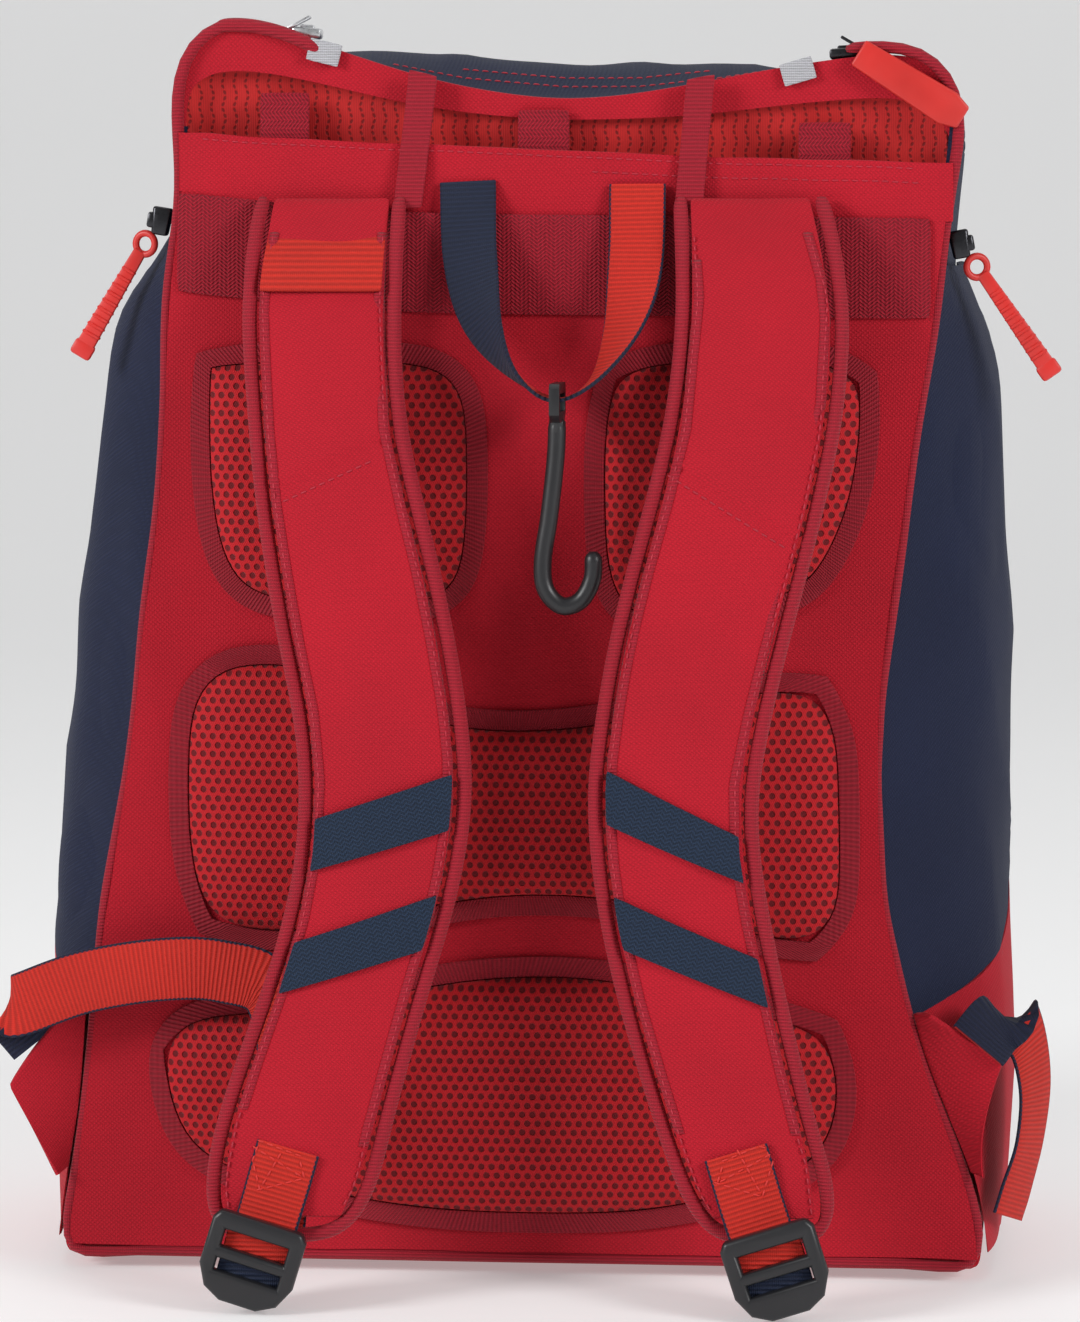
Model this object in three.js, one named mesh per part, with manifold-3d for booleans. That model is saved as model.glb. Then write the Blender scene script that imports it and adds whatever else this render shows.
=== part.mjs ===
// A baseball bat backpack, seen from its harness side: millimetres, +Z up, back towards -Y.
// The origin is the middle of the flat base that it stands on.
import * as THREE from "three";
import { mergeVertices } from "three/addons/utils/BufferGeometryUtils.js";
import Module from "manifold-3d";

const wasm = await Module();
wasm.setup();

// Bag body.
const bagHeight = 500;
const backWidth = 374;
const bagDepth = 210;
const topDepth = 155;
const frontRadius = 42;
const frontBelly = 16;
const backBelly = 5;
const backPadding = 8;
const cloth = 2;
const gap = 0.4;
const baseThickness = 6;
const baseLip = 11;
const baseInset = 7;
const lidPeep = 17;
const zipTapeWidth = 12;
const pipingRadius = 2.2;
const pocketDepth = 190;
const pocketMouth = 7;
const frontSeam = 170;
const sleeveDepthShare = 0.8;
const sleeveMouthDrop = 26;

// Back details.
const padHeight = 9;
const ribbonWidth = 8;
const seat = 0.6;
const ribbonThickness = 1.6;
const webbingThickness = 1.5;
const webbingWidth = 25;
const tabWidth = 20;
const bridgeWidth = 11;
const wideWebbingWidth = 39;

// Harness.
const strapStandoff = 60;
const strapThickness = 12;
const bindingWidth = 7;
const bindingThickness = 9;
const buckleWidth = 36;
const buckleHeight = 33;
const buckleThickness = 5;
const slotWidth = 27;
const buckleClear = 1.6;
const tabOut = 76.4;

// Grab loop and fence hook.
const loopWidth = 22;
const hookLength = 84;
const hookRadius = 3.3;
const hookHeadWidth = 31;
const hookHeadHeight = 15;
const hookHeadThickness = 4;
const hookSlotHeight = 7;

// Zip hardware.
const sliderLength = 11;
const sliderWidth = 8;
const sliderThickness = 5;
const pullLength = 42;
const pullWidth = 9;
const pullThickness = 4;
const flatPullLength = 48;
const flatPullWidth = 14;

const halfBack = backWidth / 2;
const backPlane = -bagDepth / 2;

// Side edges and silhouettes: z in percent of bagHeight, the others in percent of halfBack.
const sideTable = [
  { z: 2.0, left: -101.6, right: 96.4, leftOut: -103.5, rightOut: 98.6 },
  { z: 6.0, left: -100.2, right: 95.4, leftOut: -105.2, rightOut: 100.6 },
  { z: 10.0, left: -98.6, right: 92.2, leftOut: -106.5, rightOut: 101.5 },
  { z: 16.0, left: -96.6, right: 85.6, leftOut: -107.0, rightOut: 101.3 },
  { z: 22.0, left: -94.7, right: 80.2, leftOut: -107.2, rightOut: 100.8 },
  { z: 30.0, left: -93.0, right: 75.5, leftOut: -106.8, rightOut: 99.8 },
  { z: 40.0, left: -87.7, right: 73.6, leftOut: -105.0, rightOut: 100.4 },
  { z: 46.4, left: -85.0, right: 74.9, leftOut: -103.0, rightOut: 100.2 },
  { z: 54.4, left: -82.9, right: 78.1, leftOut: -101.0, rightOut: 100.0 },
  { z: 62.2, left: -80.7, right: 80.7, leftOut: -97.8, rightOut: 99.3 },
  { z: 69.2, left: -79.6, right: 83.2, leftOut: -95.4, rightOut: 98.6 },
  { z: 77.8, left: -78.7, right: 86.4, leftOut: -92.5, rightOut: 96.2 },
  { z: 86.0, left: -75.9, right: 88.8, leftOut: -84.0, rightOut: 92.0 },
  { z: 92.6, left: -75.4, right: 90.7, leftOut: -79.0, rightOut: 92.5 },
];

// Front outline: z in percent of bagHeight, depth in percent from topDepth (0) to bagDepth (100).
const depthTable = [
  { z: 2, depth: 92 },
  { z: 15, depth: 100 },
  { z: 45, depth: 88 },
  { z: 70, depth: 52 },
  { z: 85, depth: 16 },
  { z: 93, depth: -14 },
];

// Sagging top edge, the fold under it and the hem of the back pocket, left to right.
const topEdge = [
  { x: -73.2, z: 89.8 }, { x: -73.0, z: 93.0 }, { x: -71.8, z: 96.0 }, { x: -68.2, z: 98.2 },
  { x: -62.0, z: 98.9 }, { x: -50.9, z: 98.5 }, { x: -23.4, z: 95.2 }, { x: 1.9, z: 93.5 },
  { x: 18.7, z: 93.7 }, { x: 35.5, z: 94.7 }, { x: 59.5, z: 96.3 }, { x: 76.2, z: 96.8 },
  { x: 84.0, z: 95.6 }, { x: 87.8, z: 92.4 }, { x: 87.6, z: 89.0 },
];
const foldEdge = [
  { x: -71.9, z: 89.6 }, { x: -71.6, z: 92.0 }, { x: -70.4, z: 94.2 }, { x: -67.0, z: 95.3 },
  { x: -61.8, z: 95.7 }, { x: -50.2, z: 95.2 }, { x: -23.2, z: 92.9 }, { x: 1.8, z: 91.9 },
  { x: 18.5, z: 91.9 }, { x: 35.3, z: 92.2 }, { x: 59.2, z: 93.2 }, { x: 76.4, z: 93.4 },
  { x: 82.6, z: 92.2 }, { x: 85.8, z: 90.4 }, { x: 86.2, z: 88.6 },
];
const hemEdge = [
  { x: -75.2, z: 91.0 }, { x: -48.3, z: 90.4 }, { x: 2.2, z: 89.5 },
  { x: 46.1, z: 88.8 }, { x: 89.4, z: 88.4 },
];
const seamEdge = [
  { x: -76.0, z: 86.4 }, { x: -28.3, z: 84.7 }, { x: 2.2, z: 84.6 },
  { x: 35.8, z: 84.5 }, { x: 88.6, z: 84.3 },
];

// Harness straps: z and edges in percent, off in percent of strapStandoff.
const leftStrap = [
  { z: 84.0, outer: -57.6, inner: -25.0, off: 9 }, { z: 82.4, outer: -58.7, inner: -24.9, off: 24 },
  { z: 78.0, outer: -59.3, inner: -24.9, off: 42 }, { z: 73.0, outer: -58.4, inner: -24.3, off: 58 },
  { z: 68.0, outer: -57.0, inner: -22.9, off: 70 }, { z: 62.4, outer: -55.1, inner: -19.3, off: 80 },
  { z: 57.0, outer: -52.7, inner: -15.5, off: 85 }, { z: 51.6, outer: -50.0, inner: -12.4, off: 90 },
  { z: 46.4, outer: -47.1, inner: -10.0, off: 92 }, { z: 41.0, outer: -45.8, inner: -8.7, off: 93 },
  { z: 35.6, outer: -46.5, inner: -10.1, off: 93 }, { z: 30.0, outer: -49.3, inner: -13.5, off: 93 },
  { z: 24.4, outer: -53.7, inner: -18.0, off: 95 }, { z: 19.0, outer: -58.7, inner: -22.0, off: 97 },
  { z: 14.0, outer: -62.9, inner: -25.6, off: 100 }, { z: 9.6, outer: -64.9, inner: -28.4, off: 105 },
  { z: 6.8, outer: -63.8, inner: -32.7, off: 108 }, { z: 5.2, outer: -60.5, inner: -37.0, off: 110 },
];
const rightStrap = [
  { z: 84.0, outer: 62.8, inner: 29.8, off: 9 }, { z: 82.4, outer: 64.9, inner: 30.3, off: 24 },
  { z: 78.0, outer: 67.8, inner: 31.3, off: 42 }, { z: 73.0, outer: 67.8, inner: 30.8, off: 58 },
  { z: 68.0, outer: 66.7, inner: 29.2, off: 70 }, { z: 62.4, outer: 63.7, inner: 25.7, off: 80 },
  { z: 57.0, outer: 60.2, inner: 21.8, off: 85 }, { z: 51.6, outer: 56.2, inner: 18.3, off: 90 },
  { z: 46.4, outer: 52.8, inner: 16.0, off: 92 }, { z: 41.0, outer: 49.9, inner: 14.1, off: 93 },
  { z: 35.6, outer: 50.1, inner: 14.6, off: 93 }, { z: 30.0, outer: 52.7, inner: 16.8, off: 93 },
  { z: 24.4, outer: 56.1, inner: 20.3, off: 95 }, { z: 19.0, outer: 59.5, inner: 24.6, off: 97 },
  { z: 14.0, outer: 63.0, inner: 28.9, off: 100 }, { z: 9.6, outer: 66.6, inner: 33.3, off: 105 },
  { z: 6.8, outer: 65.8, inner: 38.2, off: 108 }, { z: 5.6, outer: 62.0, inner: 42.5, off: 110 },
];

// Pad outlines, x and z in percent.
const padOutlines = {
  upper_left: [
    [-70.9, 73.6], [-60.2, 74.4], [-42.2, 74.5], [-21.0, 74.3], [-11.4, 72.8], [-8.8, 68.4],
    [-8.8, 60.5], [-10.9, 54.9], [-17.9, 52.6], [-42.4, 52.3], [-61.6, 53.3], [-69.0, 57.2],
    [-72.1, 64.3], [-72.5, 69.9],
  ],
  upper_right: [
    [12.2, 69.0], [15.4, 72.9], [24.0, 74.3], [44.2, 74.5], [65.1, 74.3], [73.0, 72.2],
    [74.0, 67.7], [72.0, 62.2], [67.4, 57.5], [60.6, 54.0], [48.6, 52.5], [33.9, 51.5],
    [20.5, 51.5], [13.6, 54.6], [11.7, 62.1],
  ],
  lumbar: [
    [-75.6, 46.8], [-72.4, 49.4], [-63.7, 50.5], [-42.4, 50.2], [-23.3, 46.2], [0.1, 45.4],
    [19.1, 46.3], [40.3, 48.4], [56.1, 48.8], [65.0, 48.0], [68.6, 45.2], [69.2, 39.4],
    [69.6, 32.2], [68.0, 27.5], [61.7, 25.8], [46.9, 26.2], [23.5, 28.7], [0.1, 29.3],
    [-19.1, 28.4], [-42.6, 26.3], [-64.1, 26.2], [-72.7, 27.8], [-76.5, 31.6], [-77.5, 39.6],
  ],
  seat: [
    [-83.0, 18.4], [-79.0, 21.3], [-68.5, 22.3], [-42.7, 23.3], [-21.2, 25.1], [0.1, 26.0],
    [19.3, 25.6], [40.5, 23.7], [57.4, 22.3], [66.4, 20.8], [69.7, 17.9], [69.7, 13.1],
    [67.1, 9.7], [60.7, 7.6], [44.9, 5.5], [23.6, 3.9], [0.1, 3.6], [-21.3, 3.8],
    [-42.8, 4.9], [-62.2, 6.4], [-73.4, 8.0], [-80.1, 12.2],
  ],
};

// A value read from a table at height z, straight between rows.
function column(table, z, name, key = "z") {
  const rows = [...table].sort((a, b) => a[key] - b[key]);
  if (z <= rows[0][key]) return rows[0][name];
  for (let i = 1; i < rows.length; i += 1) {
    if (z > rows[i][key]) continue;
    const share = (z - rows[i - 1][key]) / (rows[i][key] - rows[i - 1][key]);
    return THREE.MathUtils.lerp(rows[i - 1][name], rows[i][name], share);
  }
  return rows[rows.length - 1][name];
}

const percentX = (share) => (share / 100) * halfBack;
const percentZ = (share) => (share / 100) * bagHeight;
const shareZ = (z) => (z / bagHeight) * 100;

// The outer face of the padded back, which bellies out a little.
function backY(x, z) {
  const side = Math.min(1, Math.abs(x) / halfBack);
  const rise = Math.sin(Math.PI * THREE.MathUtils.clamp(z / bagHeight, 0, 1));
  return backPlane - backBelly * rise * (1 - side ** 2);
}

const pipingGap = 1.4;
const seamIn = 2 * pipingRadius + pipingGap;
const leftEdge = (z) => percentX(column(sideTable, shareZ(z), "left")) + seamIn;
const rightEdge = (z) => percentX(column(sideTable, shareZ(z), "right")) - seamIn;

// A closed solid between a surface(u, v) and its copy moved in along the normal.
function sheet(surface, across, up, thickness) {
  const positions = [];
  const index = [];
  const step = 1e-3;
  const depthAt = typeof thickness === "function" ? thickness : () => thickness;
  const place = (layer, i, j) => (layer * (up + 1) + j) * (across + 1) + i;
  for (let layer = 0; layer < 2; layer += 1) {
    for (let j = 0; j <= up; j += 1) {
      for (let i = 0; i <= across; i += 1) {
        const u = i / across;
        const v = j / up;
        const point = new THREE.Vector3(...surface(u, v));
        if (layer === 1) {
          const a = new THREE.Vector3(...surface(Math.min(1, u + step), v));
          a.sub(new THREE.Vector3(...surface(Math.max(0, u - step), v)));
          const b = new THREE.Vector3(...surface(u, Math.min(1, v + step)));
          b.sub(new THREE.Vector3(...surface(u, Math.max(0, v - step))));
          point.addScaledVector(a.cross(b).normalize(), -depthAt(u, v));
        }
        positions.push(point.x, point.y, point.z);
      }
    }
  }
  for (let j = 0; j < up; j += 1) {
    for (let i = 0; i < across; i += 1) {
      const front = [place(0, i, j), place(0, i + 1, j), place(0, i + 1, j + 1), place(0, i, j + 1)];
      const back = [place(1, i, j), place(1, i + 1, j), place(1, i + 1, j + 1), place(1, i, j + 1)];
      index.push(front[0], front[1], front[2], front[0], front[2], front[3]);
      index.push(back[0], back[2], back[1], back[0], back[3], back[2]);
    }
  }
  const rim = (a, b, c, d) => index.push(a, c, b, b, c, d);
  for (let i = 0; i < across; i += 1) {
    rim(place(0, i, 0), place(0, i + 1, 0), place(1, i, 0), place(1, i + 1, 0));
    rim(place(0, i + 1, up), place(0, i, up), place(1, i + 1, up), place(1, i, up));
  }
  for (let j = 0; j < up; j += 1) {
    rim(place(0, 0, j + 1), place(0, 0, j), place(1, 0, j + 1), place(1, 0, j));
    rim(place(0, across, j), place(0, across, j + 1), place(1, across, j), place(1, across, j + 1));
  }
  return closed(positions, index);
}

// A geometry whose faces point out, whichever way round its surface was written.
function closed(positions, index) {
  let volume = 0;
  const corner = (k) => new THREE.Vector3().fromArray(positions, index[k] * 3);
  for (let k = 0; k < index.length; k += 3) {
    volume += corner(k).dot(corner(k + 1).cross(corner(k + 2)));
  }
  if (volume < 0) index.reverse();
  const geometry = new THREE.BufferGeometry();
  geometry.setAttribute("position", new THREE.Float32BufferAttribute(positions, 3));
  geometry.setIndex(index);
  geometry.computeVertexNormals();
  return geometry;
}

// A flat band along rows of {x, y, z, side}, where side is the direction of its width.
function band(rows, width, thickness, steps) {
  const centre = new THREE.CatmullRomCurve3(rows.map((row) => new THREE.Vector3(row.x, row.y, row.z)));
  const side = new THREE.CatmullRomCurve3(rows.map((row) => new THREE.Vector3(...row.side)));
  return sheet((u, v) => {
    const point = centre.getPoint(v);
    point.addScaledVector(side.getPoint(v).normalize(), (u - 0.5) * width);
    return point.toArray();
  }, 1, steps, thickness);
}

// A round bar along a curve.
function bar(points, radius, steps, sides = 8) {
  const section = new THREE.Shape();
  for (let i = 0; i < sides; i += 1) {
    const angle = (i / sides) * Math.PI * 2;
    const move = i === 0 ? "moveTo" : "lineTo";
    section[move](radius * Math.cos(angle), radius * Math.sin(angle));
  }
  section.closePath();
  const path = new THREE.CatmullRomCurve3(points.map((point) => new THREE.Vector3(...point)));
  return new THREE.ExtrudeGeometry(section, { steps, extrudePath: path, bevelEnabled: false });
}

// Joining and cutting of closed geometries.
function solid(geometry) {
  const plain = geometry.clone();
  plain.deleteAttribute("normal");
  plain.deleteAttribute("uv");
  const merged = mergeVertices(plain, 1e-3);
  const vertProperties = merged.attributes.position.array;
  const triVerts = new Uint32Array(merged.index.array);
  return new wasm.Manifold(new wasm.Mesh({ numProp: 3, vertProperties, triVerts }));
}
function geometryOf(body) {
  const result = body.getMesh();
  const geometry = new THREE.BufferGeometry();
  geometry.setAttribute("position", new THREE.Float32BufferAttribute(result.vertProperties, 3));
  geometry.setIndex([...result.triVerts]);
  geometry.computeVertexNormals();
  return geometry;
}

const looks = {
  redCloth: new THREE.MeshStandardMaterial({ color: 0xc21f34, roughness: 0.85 }),
  navyCloth: new THREE.MeshStandardMaterial({ color: 0x232c52, roughness: 0.85 }),
  redMesh: new THREE.MeshStandardMaterial({ color: 0xc8202c, roughness: 0.9 }),
  orangeMesh: new THREE.MeshStandardMaterial({ color: 0xd8321f, roughness: 0.9 }),
  redWebbing: new THREE.MeshStandardMaterial({ color: 0xae2338, roughness: 0.8 }),
  orangeWebbing: new THREE.MeshStandardMaterial({ color: 0xd2341e, roughness: 0.75 }),
  navyWebbing: new THREE.MeshStandardMaterial({ color: 0x2b4a72, roughness: 0.8 }),
  blackPlastic: new THREE.MeshStandardMaterial({ color: 0x141416, roughness: 0.4 }),
  redRubber: new THREE.MeshStandardMaterial({ color: 0xcc2229, roughness: 0.5 }),
  silver: new THREE.MeshStandardMaterial({ color: 0xb9bcc2, roughness: 0.3, metalness: 1 }),
};

const bag = new THREE.Group();
function add(name, geometry, look, group = bag) {
  const mesh = new THREE.Mesh(geometry, look.clone());
  mesh.name = name;
  group.add(mesh);
  return mesh;
}

// Points of a named edge: the left to right share u gives x, and z follows the table.
function edgeCurve(rows) {
  return new THREE.CatmullRomCurve3(
    rows.map((row) => new THREE.Vector3(percentX(row.x), 0, percentZ(row.z))), false, "centripetal");
}
const topCurve = edgeCurve(topEdge);
const foldCurve = edgeCurve(foldEdge);
const topPoints = topCurve.getPoints(80);
const hemZ = (x) => percentZ(column(hemEdge, (x / halfBack) * 100, "z", "x"));
const seamZ = (x) => percentZ(column(seamEdge, (x / halfBack) * 100, "z", "x"));

// Height of the sagging top edge over a place across the bag.
function topZ(x) {
  let best = topPoints[0].z;
  for (let i = 1; i < topPoints.length; i += 1) {
    const a = topPoints[i - 1];
    const b = topPoints[i];
    if (x < Math.min(a.x, b.x) || x > Math.max(a.x, b.x)) continue;
    const share = (x - a.x) / (b.x - a.x || 1);
    best = Math.max(best, THREE.MathUtils.lerp(a.z, b.z, share));
  }
  return best;
}

// Padded back panel, from the base seam to the seam of the pocket band.
const panelBottom = baseLip + gap;
// Rows of a panel fall on the rows of sideTable, so that neighbours share their bends.
const rowCount = 12;
const panelRows = sideTable.slice(1, rowCount).map((row, i) => ({ i: i + 1, z: row.z }));
panelRows.unshift({ i: 0, z: shareZ(panelBottom) });
function rowZ(v, high) {
  const z = percentZ(column(panelRows, v * (rowCount - 1), "z", "i"));
  const highest = percentZ(panelRows[rowCount - 1].z);
  return panelBottom + ((z - panelBottom) * (high - panelBottom)) / (highest - panelBottom);
}
const panelTop = percentZ(85);
add("back_panel", sheet((u, v) => {
  const rough = rowZ(v, panelTop);
  const across = THREE.MathUtils.lerp(leftEdge(rough), rightEdge(rough), u);
  const z = rough + (seamZ(across) - panelTop) * THREE.MathUtils.smoothstep(v, 0.86, 1);
  const x = THREE.MathUtils.lerp(leftEdge(z), rightEdge(z), u);
  return [x, backY(x, z), z];
}, 9, rowCount - 1, backPadding), looks.redCloth);

// Hem band that closes the front of the back pocket.
const bandLeft = leftEdge(percentZ(88)) + 0.6;
const bandRight = rightEdge(percentZ(88)) - 0.6;
function bandY(x, z) {
  const low = seamZ(x) + gap;
  const u = THREE.MathUtils.clamp((x - bandLeft) / (bandRight - bandLeft), 0, 1);
  const v = THREE.MathUtils.clamp((z - low) / (hemZ(x) - low), 0, 1);
  return backY(x, z) - 2.5 * Math.max(0, Math.sin(Math.PI * u)) ** 0.5 * v;
}
add("sleeve_band", sheet((u, v) => {
  const x = THREE.MathUtils.lerp(bandLeft, bandRight, u);
  const z = THREE.MathUtils.lerp(seamZ(x) + gap, hemZ(x), v);
  return [x, bandY(x, z), z];
}, 12, 3, cloth), looks.redCloth);

// Perforated lining: the wall behind the pocket, which closes it at its foot.
const liningPlane = backPlane + backPadding + pocketMouth;
const bandLine = backPlane + 3;
add("sleeve_lining", sheet((u, v) => {
  const high = foldCurve.getPoint(u);
  const low = seamZ(high.x) - pocketDepth;
  const z = THREE.MathUtils.lerp(low, high.z - gap, v);
  const start = foldCurve.getPoint(0).x;
  const share = (high.x - start) / (foldCurve.getPoint(1).x - start);
  const follow = THREE.MathUtils.lerp(leftEdge(z), rightEdge(z), share);
  const x = THREE.MathUtils.lerp(follow, high.x, v ** 4);
  const ends = Math.max(0, 1 - v / 0.08) ** 2 * (pocketMouth - gap) + v ** 10 * pocketMouth;
  return [x, liningPlane - ends, z];
}, 14, 8, cloth), looks.orangeMesh);

// Red band between the lining's fold and the zip along the sagging top edge.
add("top_band", sheet((u, v) => {
  const low = foldCurve.getPoint(u);
  const high = topCurve.getPoint(u);
  const x = THREE.MathUtils.lerp(low.x, high.x, v);
  const z = THREE.MathUtils.lerp(low.z, high.z, v);
  return [x, bandLine + (1 - v), z];
}, 26, 2, cloth), looks.redCloth);

// The wrapped wall of sides and front. Each panel runs along a share of the wrap.
const wallStart = backPlane + seamIn;
function depthAt(z) {
  const share = column(depthTable, shareZ(z), "depth") / 100;
  return THREE.MathUtils.lerp(topDepth, bagDepth, share) + backPlane;
}
function sideLine(z, side, share, inset) {
  const edge = percentX(column(sideTable, shareZ(z), side));
  const out = percentX(column(sideTable, shareZ(z), side + "Out"));
  const sign = side === "left" ? -1 : 1;
  return THREE.MathUtils.lerp(edge, out, share) - sign * (inset + (1 - share));
}
const wallOut = 0.35;
// u runs from the back edge (0) to the middle of the rounded front corner (1).
function sidePoint(side, u, z, out = wallOut, inset = 0, endShare = 1) {
  const sign = side === "left" ? -1 : 1;
  const front = depthAt(z) - inset;
  const straight = front - frontRadius - wallStart;
  const arc = (Math.PI / 4) * frontRadius;
  const way = u * endShare * (straight + arc);
  const bulge = Math.sin(Math.min(1, way / straight) * Math.PI * 0.5) ** 0.7;
  const x = sideLine(z, side, out * bulge, inset);
  if (way <= straight) return [x, wallStart + way, z];
  const angle = (way - straight) / frontRadius;
  const middle = front - frontRadius;
  return [x - sign * frontRadius * (1 - Math.cos(angle)), middle + frontRadius * Math.sin(angle), z];
}
// u runs from the left corner (0) to the right corner (1).
function frontPoint(u, z, inset = 0) {
  const left = sidePoint("left", 1, z, wallOut, inset);
  const right = sidePoint("right", 1, z, wallOut, inset);
  const x = THREE.MathUtils.lerp(left[0], right[0], u);
  const y = THREE.MathUtils.lerp(left[1], right[1], u);
  const flat = Math.min(1, Math.min(u, 1 - u) / 0.11);
  const corner = frontRadius * (1 - Math.SQRT1_2) * Math.sin((flat * Math.PI) / 2);
  const rise = Math.sin(Math.PI * THREE.MathUtils.clamp(z / bagHeight, 0, 1));
  return [x, y + corner + frontBelly * rise * Math.sin(Math.PI * u), z];
}
// Height of the rim where the lid meets the walls.
function rimZ(y) {
  const share = THREE.MathUtils.clamp((y - backPlane) / topDepth, 0, 1);
  return THREE.MathUtils.lerp(percentZ(91.6), percentZ(88.5), share);
}
for (const side of ["left", "right"]) {
  add("side_" + side, sheet((u, v) => {
    const foot = sidePoint(side, u, panelBottom);
    const z = rowZ(v, rimZ(foot[1]));
    return sidePoint(side, u * 0.985, z);
  }, 6, rowCount - 1, side === "left" ? -cloth : cloth), looks.navyCloth);
}
add("front_lower", sheet((u, v) => {
  const z = THREE.MathUtils.lerp(panelBottom, frontSeam, v);
  return frontPoint(THREE.MathUtils.lerp(0.004, 0.996, u), z);
}, 10, 3, -cloth), looks.redCloth);
add("front_upper", sheet((u, v) => {
  const x = frontPoint(u, percentZ(88))[1];
  const z = THREE.MathUtils.lerp(frontSeam + gap, rimZ(x), v);
  return frontPoint(THREE.MathUtils.lerp(0.004, 0.996, u), z);
}, 10, 6, -cloth), looks.navyCloth);

// Base tray: its flat underside rests on the floor.
function baseLoop(z, inset, height) {
  const points = [];
  for (const u of [0, 0.3, 0.6, 0.85]) points.push(sidePoint("left", u, z, wallOut, inset));
  for (let i = 0; i <= 8; i += 1) points.push(frontPoint(i / 8, z, inset));
  for (const u of [0.85, 0.6, 0.3, 0]) points.push(sidePoint("right", u, z, wallOut, inset));
  const back = wallStart + inset;
  return points.map(([x, y]) => [x, Math.max(y, back), height]);
}
function loft(loops) {
  const count = loops[0].length;
  const positions = loops.flat(2);
  const middle = (loop) => {
    positions.push(0, 0, loop[0][2]);
    return positions.length / 3 - 1;
  };
  const index = [];
  for (let k = 0; k + 1 < loops.length; k += 1) {
    for (let i = 0; i < count; i += 1) {
      const a = k * count + i;
      const b = k * count + ((i + 1) % count);
      index.push(a, b, b + count, a, b + count, a + count);
    }
  }
  const low = middle(loops[0]);
  const high = middle(loops[loops.length - 1]);
  const last = (loops.length - 1) * count;
  for (let i = 0; i < count; i += 1) {
    index.push(low, (i + 1) % count, i);
    index.push(high, last + i, last + ((i + 1) % count));
  }
  return closed(positions, index);
}
add("base", loft([
  baseLoop(baseLip, baseInset, 0),
  baseLoop(baseLip, 0.5, baseThickness),
  baseLoop(baseLip, 0, baseLip),
  baseLoop(baseLip, cloth, baseLip),
  baseLoop(baseLip, cloth + 1, baseThickness),
]), looks.redCloth);

// Domed lid inside the zip, sagging along its back as the top edge does.
const lidBack = backPlane + pipingRadius * 2 + zipTapeWidth + 1;
add("lid", sheet((u, v) => {
  const front = depthAt(rimZ(topDepth + backPlane));
  const y = THREE.MathUtils.lerp(lidBack, front - 1, v);
  const turn = Math.max(0, y - (front - frontRadius)) / frontRadius;
  const pull = frontRadius * (1 - Math.sqrt(Math.max(0, 1 - Math.min(1, turn) ** 2)));
  const left = sideLine(rimZ(y), "left", wallOut * 0.8, 0) + pull;
  const right = sideLine(rimZ(y), "right", wallOut * 0.8, 0) - pull;
  const x = THREE.MathUtils.lerp(left, right, u);
  const rim = rimZ(y) + cloth + gap * 2;
  const near = topZ(x) - 4;
  const crest = topZ(x) + lidPeep * (1 - Math.min(1, Math.abs(x) / (halfBack * 0.75)) ** 2);
  const up = THREE.MathUtils.smoothstep(v, 0, 0.38);
  const down = v < 0.38 ? 1 : Math.cos(((v - 0.38) / 0.62) * Math.PI * 0.5);
  const high = THREE.MathUtils.lerp(near, crest, up) - rim;
  const fade = Math.sin(Math.PI * THREE.MathUtils.clamp(u, 0, 1)) ** 0.45;
  return [x, y, rim + Math.max(0, high) * down * fade];
}, 14, 8, cloth), looks.navyCloth);

// Zip tape between the top band and the lid.
add("top_zip_tape", sheet((u, v) => {
  const high = topCurve.getPoint(THREE.MathUtils.lerp(0.27, 0.76, u));
  const y = THREE.MathUtils.lerp(bandLine + cloth + gap * 2, lidBack - gap, v);
  return [high.x, y, high.z - THREE.MathUtils.lerp(0.6, 3.5, v)];
}, 18, 1, webbingThickness), looks.navyCloth);

// Piping round the padded back: down one side, under the base seam and up the other.
const pipingLine = backPlane + pipingRadius;
const pipingOut = pipingRadius + pipingGap;
function aroundTop(u) {
  const point = topCurve.getPoint(u);
  const along = topCurve.getTangent(u);
  return [point.x - along.z * pipingOut, pipingLine, point.z + along.x * pipingOut];
}
const pipingPath = [];
for (const u of [0.29, 0.24, 0.19, 0.13, 0.07]) pipingPath.push(aroundTop(u));
for (const z of [86, 77.8, 69.2, 62.2, 54.4, 50, 46.4, 43, 40, 37, 34, 30, 26, 22, 16, 10, 6]) {
  pipingPath.push([leftEdge(percentZ(z)) - pipingOut, pipingLine, percentZ(z)]);
}
const cornerOut = pipingOut * 1.15;
pipingPath.push([leftEdge(panelBottom) - cornerOut, pipingLine, panelBottom - cornerOut]);
for (const x of [-85, -40, 0, 40, 80]) {
  pipingPath.push([percentX(x), pipingLine, panelBottom - pipingOut]);
}
pipingPath.push([rightEdge(panelBottom) + cornerOut, pipingLine, panelBottom - cornerOut]);
for (const z of [6, 10, 16, 22, 26, 30, 34, 37, 40, 43, 46.4, 50, 54.4, 62.2, 69.2, 77.8, 86]) {
  pipingPath.push([rightEdge(percentZ(z)) + pipingOut, pipingLine, percentZ(z)]);
}
for (const u of [0.94, 0.89, 0.84, 0.79, 0.74]) pipingPath.push(aroundTop(u));
add("piping", bar(pipingPath, pipingRadius, 96, 5), looks.redWebbing);

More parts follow.
